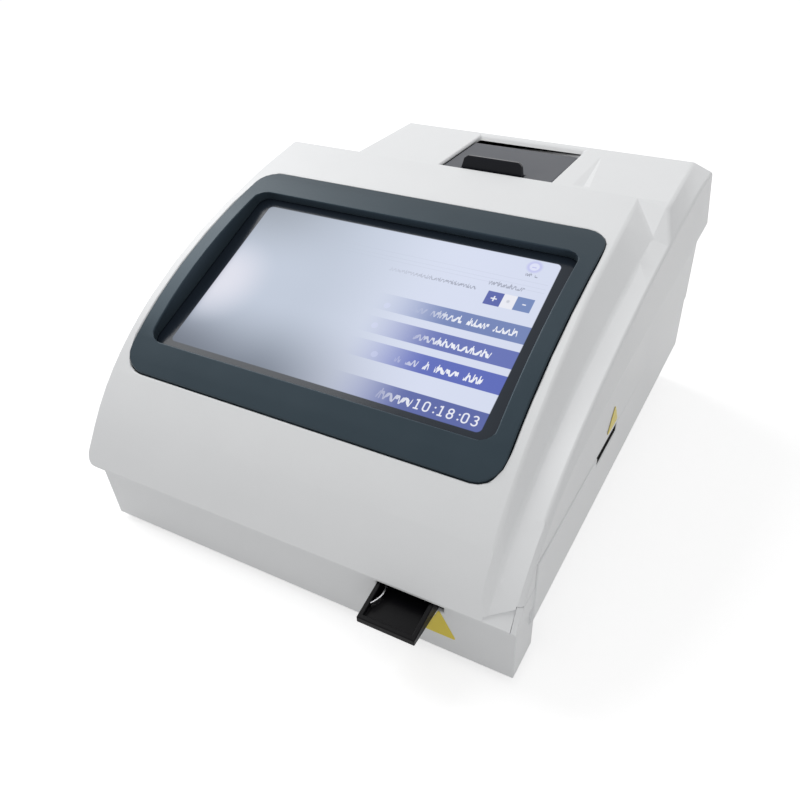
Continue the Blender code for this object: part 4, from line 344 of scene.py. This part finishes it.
# Card reader
# A small black slot reader behind the right wall. Its mouth stays dark, so its finish is darkened to almost
# black with painted shade.
# Painted shade: a near-black finish that stands for the dark inside the slot's mouth.
slot_painted_shade_black = finish("slot_painted_shade_black", (0.006, 0.006, 0.007), (0.004, 0.004, 0.004), 0.6,
                    grain=2400, relief=0.2, specular=0.1)
dress(slot_painted_shade_black, "card_reader")

# Cassette tray
# A black ABS tray with a rack and a spring clip. It slides in a nylon guide and a small motor with a
# nylon pinion moves it.
tray_black = finish("tray_black", (0.0042, 0.0042, 0.0050), (0.0028, 0.0028, 0.0034), 0.34,
                    grain=2200, relief=0.12, specular=0.10)
moulding("cassette_tray", "tray", tray_black, width=0.0004, rounded=fine_angle)
spring_steel = finish("spring_steel", (0.62, 0.62, 0.63), (0.50, 0.50, 0.52), 0.25,
                      grain=3000, relief=0.05, metallic=1.0)
dress(spring_steel, "cassette_clip")
nylon = finish("natural_nylon", (0.74, 0.73, 0.68), (0.66, 0.65, 0.60), 0.5, grain=1500, relief=0.1)
dress(nylon, "tray_rack", "tray_guide", "tray_pinion")
motor_steel = finish("motor_can", (0.56, 0.57, 0.58), (0.42, 0.43, 0.44), 0.38,
                     grain=1600, relief=0.12, metallic=1.0)
dress(motor_steel, "tray_motor")

# Reader
# A folded steel portal over the tray carries the black optical housing with its lens and the detector
# board. The lens has a violet coating that shows more at its rim.
dress(motor_steel, "optical_bracket")
housing_black = finish("housing_black", (0.026, 0.026, 0.028), (0.016, 0.016, 0.017), 0.6,
                       grain=1400, relief=0.3)
dress(housing_black, "optical_housing")
lens_middle = (0.03, 0.03, 0.06, 1)
lens_rim = (0.20, 0.12, 0.45, 1)
lens_glass = bpy.data.materials.new("lens_glass")
lens_glass.use_nodes = True
lens_tree = lens_glass.node_tree
lens_shader = lens_tree.nodes["Principled BSDF"]
lens_shader.inputs["Roughness"].default_value = 0.03
lens_shader.inputs["Coat Weight"].default_value = 1.0
lens_tint = node(lens_tree, "LayerWeight", {"Blend": 0.4})
lens_mix = node(lens_tree, "Mix", {"Factor": lens_tint.outputs["Facing"], "A": lens_middle, "B": lens_rim},
                data_type="RGBA")
lens_tree.links.new(lens_mix.outputs["Result"], lens_shader.inputs["Base Color"])
dress(lens_glass, "objective_lens")

# Top cover
# The upper half of the case, in the same white moulding as the base, with the window, the printer well
# and the long wing at its right. The twisted facet at the hump's right edge is shaded without creases.
hump_facet = ((0.105, 0.074, 0.130), (0.130, 0.115, 0.150))
moulding("top_cover", "case", case_paint, width=0.0012, rounded=24, flat=3,
         blended=hump_facet)

# Display
# A colour display behind a touch glass. The glass is black round its edge, and the picture shines
# through it: a header, two buttons and four bars, with rows of small wavy marks and a clock.
dress(motor_steel, "lcd_panel", "lcd_bracket")
mm = 0.001
glass_thick = 2 * mm
picture_rise = 0.65 * mm
screen_tilt = math.radians(22)
screen_up = Vector((0, math.cos(screen_tilt), math.sin(screen_tilt)))
screen_out = Vector((0, -math.sin(screen_tilt), math.cos(screen_tilt)))
glass_low, glass_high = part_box("touch_glass")
screen_centre = (glass_low + glass_high + screen_out * glass_thick) / 2 + screen_up * picture_rise


def new_group(name, takes, gives):
    """A node group with its inputs and outputs, each given as a name and a kind."""
    group = bpy.data.node_groups.new(name, "ShaderNodeTree")
    for title, kind in takes:
        group.interface.new_socket(title, in_out="INPUT", socket_type="NodeSocket" + kind)
    for title, kind in gives:
        group.interface.new_socket(title, in_out="OUTPUT", socket_type="NodeSocket" + kind)
    return group, group.nodes.new("NodeGroupInput"), group.nodes.new("NodeGroupOutput")


def vector_calc(tree, operation, first, second=(0, 0, 0)):
    """The node of one sum on vectors."""
    return node(tree, "VectorMath", {0: first, 1: second}, operation=operation)


def panel_mask():
    """A rectangle with round corners on the screen: 1 inside, 0 outside."""
    takes = [("Place", "Vector"), ("Centre", "Vector"), ("Core", "Vector"),
             ("Corner", "Float"), ("Soft", "Float")]
    group, given, result = new_group("panel_mask", takes, [("Mask", "Float")])
    offset = vector_calc(group, "SUBTRACT", given.outputs["Place"], given.outputs["Centre"])
    folded = vector_calc(group, "ABSOLUTE", offset.outputs[0])
    beyond = vector_calc(group, "SUBTRACT", folded.outputs[0], given.outputs["Core"])
    outside = vector_calc(group, "MAXIMUM", beyond.outputs[0])
    flat = vector_calc(group, "MULTIPLY", outside.outputs[0], (1, 1, 0))
    reach = vector_calc(group, "LENGTH", flat.outputs[0])
    past = calc(group, "SUBTRACT", reach.outputs["Value"], given.outputs["Corner"])
    scaled = calc(group, "DIVIDE", past, given.outputs["Soft"])
    group.links.new(calc(group, "SUBTRACT", 0.5, scaled, clamp=True), result.inputs["Mask"])
    return group


# The marks are counted along the row, and heights are shares of the row's height.
wave_turn = 5.2
wander_turn = 9.0
wander_pace = 0.9
wave_middle = 0.37
wave_height = 0.27
ink_half = 0.085
ink_on_slopes = 0.17
stem_half = 0.09
stem_least = 0.68
word_share = 0.91


def mark_mask():
    """A row of small marks: a wandering wave with a tall stroke and a gap here and there."""
    takes = [("Along", "Float"), ("Up", "Float"), ("Row", "Float")]
    group, given, result = new_group("mark_mask", takes, [("Mask", "Float")])
    along = given.outputs["Along"]
    up = given.outputs["Up"]
    row = given.outputs["Row"]
    place = node(group, "CombineXYZ", {"X": calc(group, "FLOOR", along), "Y": row})
    chance = node(group, "TexWhiteNoise", {"Vector": place.outputs[0]}, noise_dimensions="2D")
    chances = node(group, "SeparateColor", {"Color": chance.outputs["Color"]})
    wander = node(group, "TexNoise", {"W": calc(group, "ADD", along, row), "Scale": wander_pace, "Detail": 1},
                  noise_dimensions="1D")
    phase = calc(group, "ADD", calc(group, "MULTIPLY", along, wave_turn),
                 calc(group, "MULTIPLY", wander.outputs[0], wander_turn))
    wave_line = calc(group, "MULTIPLY", calc(group, "SINE", phase), wave_height)
    off_line = calc(group, "ABSOLUTE",
                    calc(group, "SUBTRACT", calc(group, "SUBTRACT", up, wave_middle), wave_line))
    steep = calc(group, "ABSOLUTE", calc(group, "COSINE", phase))
    ink = calc(group, "ADD", calc(group, "MULTIPLY", steep, ink_on_slopes), ink_half)
    wave = calc(group, "LESS_THAN", off_line, ink)
    off_stem = calc(group, "ABSOLUTE", calc(group, "SUBTRACT", calc(group, "FRACT", along), 0.5))
    stem = calc(group, "MULTIPLY", calc(group, "LESS_THAN", off_stem, stem_half),
                calc(group, "GREATER_THAN", chances.outputs["Red"], stem_least))
    word = calc(group, "LESS_THAN", chances.outputs["Green"], word_share)
    mask = calc(group, "MULTIPLY", calc(group, "MAXIMUM", wave, stem), word)
    group.links.new(mask, result.inputs["Mask"])
    return group


panel_group = panel_mask()
mark_group = mark_mask()
screen_glass = bpy.data.materials.new("lit_screen")
screen_glass.use_nodes = True
screen_tree = screen_glass.node_tree
screen_shader = screen_tree.nodes["Principled BSDF"]
screen_shader.inputs["Roughness"].default_value = 0.18
screen_shader.inputs["IOR"].default_value = 1.5
screen_shader.inputs["Specular IOR Level"].default_value = 0.25
screen_shader.inputs["Emission Strength"].default_value = 0.93
flat_place = node(screen_tree, "Mapping",
                  {"Vector": node(screen_tree, "TexCoord").outputs["Object"],
                   "Location": screen_centre, "Rotation": (screen_tilt, 0, 0)},
                  vector_type="TEXTURE").outputs["Vector"]
split = node(screen_tree, "SeparateXYZ", {"Vector": flat_place})
across = split.outputs["X"]
upward = split.outputs["Y"]


def panel(left, right, low, high, corner=0.0, soft=0.25):
    """The mask of a panel whose edges are given in millimetres from the middle of the screen."""
    corner = max(corner, soft / 2)
    made = screen_tree.nodes.new("ShaderNodeGroup")
    made.node_tree = panel_group
    screen_tree.links.new(flat_place, made.inputs["Place"])
    made.inputs["Centre"].default_value = ((left + right) / 2 * mm, (low + high) / 2 * mm, 0)
    made.inputs["Core"].default_value = (((right - left) / 2 - corner) * mm,
                                         ((high - low) / 2 - corner) * mm, 0)
    made.inputs["Corner"].default_value = corner * mm
    made.inputs["Soft"].default_value = soft * mm
    return made.outputs["Mask"]


def marks(left, right, low, high, pitch):
    """The mask of a row of marks."""
    row = screen_tree.nodes.new("ShaderNodeGroup")
    row.node_tree = mark_group
    along = calc(screen_tree, "DIVIDE", calc(screen_tree, "SUBTRACT", across, left * mm), pitch * mm)
    up = calc(screen_tree, "DIVIDE", calc(screen_tree, "SUBTRACT", upward, low * mm), (high - low) * mm)
    screen_tree.links.new(along, row.inputs["Along"])
    screen_tree.links.new(up, row.inputs["Up"])
    row.inputs["Row"].default_value = low
    return calc(screen_tree, "MULTIPLY", row.outputs["Mask"], panel(left, right, low, high))


# A figure of the clock, in millimetres and in shares of its width and height.
figure_width = 3.3
figure_height = 5.6
figure_pitch = 4.75
colon_pitch = 2.5
stroke = 0.72
oval_share = 0.48
waist_share = 0.53
upper_inset = 0.15
dot_size = 1.2 * stroke
dot_shares = (0.1, 0.58)
stem_share = 0.45
foot_reach = 0.9
flag_top = 0.2
flag_bottom = 1.4 * stroke
mouth_overrun = 1
mouth_width_share = 0.42
mouth_margin_share = 0.2


def ring(left, right, low, high):
    """The mask of an oval stroke."""
    corner = (right - left) * oval_share
    outer = panel(left, right, low, high, corner)
    inner = panel(left + stroke, right - stroke, low + stroke, high - stroke, corner - stroke)
    return calc(screen_tree, "SUBTRACT", outer, inner, clamp=True)


def figure(sign, left, low):
    """The masks of one figure or colon, with its lower left corner at left and low."""
    right = left + figure_width
    top = low + figure_height
    if sign == ":":
        dots = [low + figure_height * share for share in dot_shares]
        return [panel(left + stroke, left + stroke + dot_size, dot, dot + dot_size, corner=stroke / 2)
                for dot in dots]
    if sign == "1":
        stem = left + figure_width * stem_share
        return [panel(stem, stem + stroke, low, top),
                panel(stem - foot_reach, stem + stroke, top - flag_bottom, top - flag_top),
                panel(stem - foot_reach, stem + stroke + foot_reach, low, low + stroke)]
    if sign == "0":
        return [ring(left, right, low, top)]
    waist = low + figure_height * waist_share
    loops = calc(screen_tree, "MAXIMUM", ring(left, right, low, waist + stroke / 2),
                 ring(left + upper_inset, right - upper_inset, waist - stroke / 2, top))
    if sign == "3":
        mouth_right = left + figure_width * mouth_width_share
        margin = figure_height * mouth_margin_share
        mouth = panel(left - mouth_overrun, mouth_right, low + margin, top - margin)
        loops = calc(screen_tree, "SUBTRACT", loops, mouth, clamp=True)
    return [loops]


def clock(text, left, low):
    """The mask of the clock's figures."""
    mask = 0.0
    for sign in text:
        for shape in figure(sign, left, low):
            mask = calc(screen_tree, "MAXIMUM", mask, shape)
        left += colon_pitch if sign == ":" else figure_pitch
    return mask


def shade(value, start, stop):
    """A smooth step along a length given in millimetres."""
    return node(screen_tree, "MapRange", {"Value": value, "From Min": start * mm, "From Max": stop * mm},
                interpolation_type="SMOOTHSTEP").outputs["Result"]


def paint(under, mask, colour, most=1.0):
    """Lays a colour over the picture where the mask is."""
    share = calc(screen_tree, "MULTIPLY", mask, most)
    mixed = node(screen_tree, "Mix", {"Factor": share, "A": under, "B": colour}, data_type="RGBA")
    return mixed.outputs["Result"]


def both(first, second):
    """The mask of what two masks have in common."""
    return calc(screen_tree, "MULTIPLY", first, second)


# The ground of the picture goes from dark below to pale above and at the right. At the left it is dimmed by
# painted shade, darkest below and in both left corners, and a painted reflection of a lamp glows at its left
# edge.
# The low and high tones and the two corner tones are painted shade; the glow tone and place are a painted
# reflection of a lamp.
painted_shade_low_tone = (0.060, 0.090, 0.140, 1)
painted_shade_high_tone = (0.43, 0.49, 0.60, 1)
painted_shade_top_corner_tone = (0.20, 0.24, 0.30, 1)
painted_shade_low_corner_tone = (0.02, 0.04, 0.08, 1)
painted_reflection_tone = (0.64, 0.65, 0.74, 1)
painted_reflection_place = (-86 * mm, -6 * mm, 0)
page_tone = (0.685, 0.735, 0.890, 1)
# Painted shade darkens the left of the page below and in both corners, and a painted reflection glows at its
# left edge; the page's own pale tone takes over at the right.
picture = paint(painted_shade_low_tone, shade(upward, -64, -10), painted_shade_high_tone)
picture = paint(picture, both(shade(upward, 5, 55), shade(across, -10, -90)), painted_shade_top_corner_tone)
picture = paint(picture, both(shade(upward, -25, -55), shade(across, -45, -90)), painted_shade_low_corner_tone, 0.7)
from_painted_reflection = vector_calc(screen_tree, "DISTANCE", flat_place, painted_reflection_place)
picture = paint(picture, shade(from_painted_reflection.outputs["Value"], 34, 4), painted_reflection_tone)
picture = paint(picture, shade(across, -36, 58), page_tone)

# Four blue bars that fade in from the left, where painted glare washes them out. Each is given by its lower
# and upper edge and its blue.
bars = (
    (-0.9, 9.6, (0.160, 0.225, 0.475, 1)),
    (-15.8, -5.6, (0.120, 0.160, 0.465, 1)),
    (-30.8, -20.1, (0.092, 0.132, 0.490, 1)),
    (-52.5, -41.3, (0.088, 0.122, 0.375, 1)),
)
# Painted glare: the bars fade out towards the left.
bar_glare_fade = shade(across, 4, 50)
for bar_low, bar_high, bar_blue in bars:
    picture = paint(picture, both(panel(-90, 90, bar_low, bar_high), bar_glare_fade), bar_blue)

# Marks, clock and round icons on the bars. A row of marks is its left, right, lower and upper edge and
# its pitch, and an icon its lower left corner.
near_white = (0.86, 0.88, 0.95, 1)
pale_lilac = (0.62, 0.66, 0.90, 1)
bar_marks = (
    (27, 83, 2.4, 7.0, 2.75),
    (33, 76, -13.2, -8.4, 2.9),
    (33, 78, -28.2, -23.4, 3.0),
    (34, 52, -49.6, -43.8, 3.4),
)
icon_size = 3.6
icon_places = ((12.2, 0.6), (12.0, -12.8), (20.2, -29.0))
# Painted glare: the marks and the clock fade out towards the left.
ink_glare_fade = shade(across, 26, 56)
for row in bar_marks:
    picture = paint(picture, both(marks(*row), ink_glare_fade), near_white)
picture = paint(picture, both(clock("10:18:03", 53.0, -49.6), ink_glare_fade), near_white)
for icon_left, icon_low in icon_places:
    icon = panel(icon_left, icon_left + icon_size, icon_low, icon_low + icon_size, icon_size / 2)
    picture = paint(picture, icon, pale_lilac, 0.35)

# The header: three rows of grey marks and three thin lines.
grey_ink = (0.26, 0.28, 0.36, 1)
line_height = 0.3
# Painted glare: the first row of marks fades out towards the left.
picture = paint(picture, both(marks(3.7, 54.2, 24.4, 27.2, 1.75), shade(across, -20, 50)), grey_ink, 0.75)
picture = paint(picture, marks(57.4, 76, 29.4, 32.8, 2.07), grey_ink, 0.7)
picture = paint(picture, marks(72.8, 79.2, 39.6, 42.2, 1.6), grey_ink, 0.8)
# Painted glare: the thin lines fade out towards the left.
for line_low in (31.0, 33.4, 36.4):
    thin_line = panel(-60, 86, line_low, line_low + line_height)
    picture = paint(picture, both(thin_line, shade(across, -60, 20)), grey_ink, 0.16)

# Two square buttons with a pale field between them, each shape as its left, right, lower and upper edge.
plus_blue = (0.085, 0.115, 0.400, 1)
field_white = (0.84, 0.85, 0.92, 1)
dot_grey = (0.60, 0.62, 0.70, 1)
minus_blue = (0.165, 0.245, 0.500, 1)
plus_and_minus = ((62.2, 65.4, 21.2, 21.9), (63.45, 64.15, 19.9, 23.2), (78.5, 80.3, 21.5, 22.2))
picture = paint(picture, panel(59.5, 68.0, 17.2, 25.8), plus_blue)
picture = paint(picture, panel(68.0, 74.8, 17.3, 25.9), field_white)
picture = paint(picture, panel(70.4, 72.0, 20.8, 22.6, corner=0.8, soft=0.8), dot_grey)
picture = paint(picture, panel(74.8, 83.5, 17.5, 26.1), minus_blue)
for stroke_edges in plus_and_minus:
    picture = paint(picture, panel(*stroke_edges), near_white)

# A round lilac badge at the upper right, with a short dash in it.
badge_lilac = (0.47, 0.47, 0.86, 1)
badge_white = (0.74, 0.77, 0.95, 1)
badge_dash = (0.42, 0.42, 0.80, 1)
picture = paint(picture, panel(71.5, 79.3, 42.4, 50.2, corner=3.9, soft=1.4), badge_lilac, 0.6)
picture = paint(picture, panel(72.9, 77.9, 43.8, 48.8, corner=2.5, soft=0.6), badge_white)
picture = paint(picture, panel(74.2, 76.6, 45.6, 46.2, corner=0.3), badge_dash, 0.7)

# The lit area ends in round corners, and the glass round it has a black border print.
border_black = (0.018, 0.026, 0.038, 1)
unlit_black = (0.02, 0.02, 0.025, 1)
lit = panel(-88, 88, -52, 51, corner=2.6, soft=0.4)
shown = node(screen_tree, "Mix", {"Factor": lit, "A": (0, 0, 0, 1), "B": picture}, data_type="RGBA")
glass_tone = node(screen_tree, "Mix", {"Factor": lit, "A": border_black, "B": unlit_black},
                  data_type="RGBA")
screen_tree.links.new(shown.outputs["Result"], screen_shader.inputs["Emission Color"])
screen_tree.links.new(glass_tone.outputs["Result"], screen_shader.inputs["Base Color"])
dress(screen_glass, "touch_glass")

# Screen bezel
# A raised ring of slate grey ABS round the glass, sprayed satin, that follows the curved face.
slate_paint = finish("slate_satin", (0.031, 0.044, 0.055), (0.025, 0.037, 0.047), 0.36,
                     grain=2000, relief=0.05, specular=0.32, gleam=(0.62, 0.84, 1.0))
moulding("screen_bezel", "case", slate_paint, width=0.0006, rounded=24)

# Printer
# A receipt printer sits in a black tub under the hump: print head, geared rubber platen and paper roll.
# Its grey lid turns on a steel pin, and a glossy black lever at its front edge unlatches it.
moulding("printer_frame", "case", socket_black, fine_round, fine_angle)
dress(spring_steel, "door_pin", "latch_pin")
dress(motor_steel, "print_head", "printer_motor")
dress(nylon, "platen_gear", "printer_pinion")
dress(rubber, "platen_roller")
roll_paper = finish("roll_paper", (0.86, 0.85, 0.82), (0.80, 0.79, 0.76), 0.75, grain=1200, relief=0.15)
dress(roll_paper, "paper_roll")
lid_grey = finish("lid_grey", (0.074, 0.080, 0.095), (0.062, 0.067, 0.080), 0.42,
                  grain=1600, relief=0.08, specular=0.32)
moulding("printer_door", "printer_lid", lid_grey, width=0.0004, rounded=fine_angle)
latch_gloss = finish("latch_gloss", (0.006, 0.007, 0.012), (0.004, 0.005, 0.008), 0.2, spread=0.04,
                     grain=1500, relief=0.02, coat=0.12, specular=0.10)
moulding("latch_lever", "latch", latch_gloss, width=0.0006, rounded=fine_angle)

# Plain labels
# Two plain labels of yellow vinyl, cut to a triangle with round corners and stuck flat on the front of
# the base and on the right side of the cover.
label_gap = 0.00002
label_wall = 0.00011
label_edge = 0.00005
label_top_share = 0.98
arc_steps = 8


def label(name, corners, outward, radius, vinyl):
    """A thin plate with round corners just above the surface that its corners lie on."""
    corners = [Vector(corner) for corner in corners]
    outward = Vector(outward).normalized()
    middle = sum(corners, Vector()) / len(corners)
    outline = []
    for i, corner in enumerate(corners):
        before = (corners[i - 1] - corner).normalized()
        after = (corners[(i + 1) % len(corners)] - corner).normalized()
        half = before.angle(after) / 2
        hub = corner + (before + after).normalized() * radius / math.sin(half)
        start = corner + before * radius / math.tan(half) - hub
        stop = corner + after * radius / math.tan(half) - hub
        step = (math.pi - 2 * half) / arc_steps
        if start.cross(stop).dot(outward) < 0:
            step = -step
        outline += [hub + Matrix.Rotation(step * k, 3, outward) @ start for k in range(arc_steps + 1)]
    bpy.ops.object.select_all(action="DESELECT")
    bpy.ops.mesh.primitive_circle_add(vertices=len(outline), fill_type="NGON", calc_uvs=False)
    piece = bpy.context.object
    piece.name = name
    piece.data.name = name
    for vertex, point in zip(piece.data.vertices, outline):
        vertex.co = point + outward * label_gap
    bpy.ops.object.mode_set(mode="EDIT")
    bpy.ops.mesh.select_mode(type="FACE")
    bpy.ops.mesh.select_all(action="SELECT")
    bpy.ops.mesh.extrude_region_move(TRANSFORM_OT_translate={"value": outward * label_wall})
    bpy.ops.mesh.extrude_region_move(TRANSFORM_OT_translate={"value": outward * label_edge})
    bpy.ops.transform.resize(value=(label_top_share, label_top_share, label_top_share),
                             center_override=middle + outward * (label_gap + label_wall + label_edge))
    bpy.ops.mesh.select_all(action="SELECT")
    bpy.ops.mesh.normals_make_consistent(inside=False)
    bpy.ops.object.mode_set(mode="OBJECT")
    piece.data.materials.append(vinyl)
    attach(piece, "case")


label_vinyl = finish("yellow_vinyl", (0.80, 0.64, 0.045), (0.74, 0.58, 0.038), 0.38, grain=900, relief=0.04)
front_y = -0.12765
front_corners = [(x, front_y, z) for x, z in ((0.0808, 0.0284), (0.0741, 0.0128), (0.0894, 0.0128))]
label("front_label", front_corners, (0, -1, 0), 0.0007, label_vinyl)

# The right wall of the cover leans out a little towards the rear.
wall_x = 0.11866
wall_y = -0.01739
wall_lean = 0.0064
side_corners = [(wall_x + wall_lean * (y - wall_y), y, z)
                for y, z in ((-0.0145, 0.0775), (-0.0060, 0.0640), (-0.0230, 0.0640))]
label("side_label", side_corners, (1, -wall_lean, 0), 0.0011, label_vinyl)
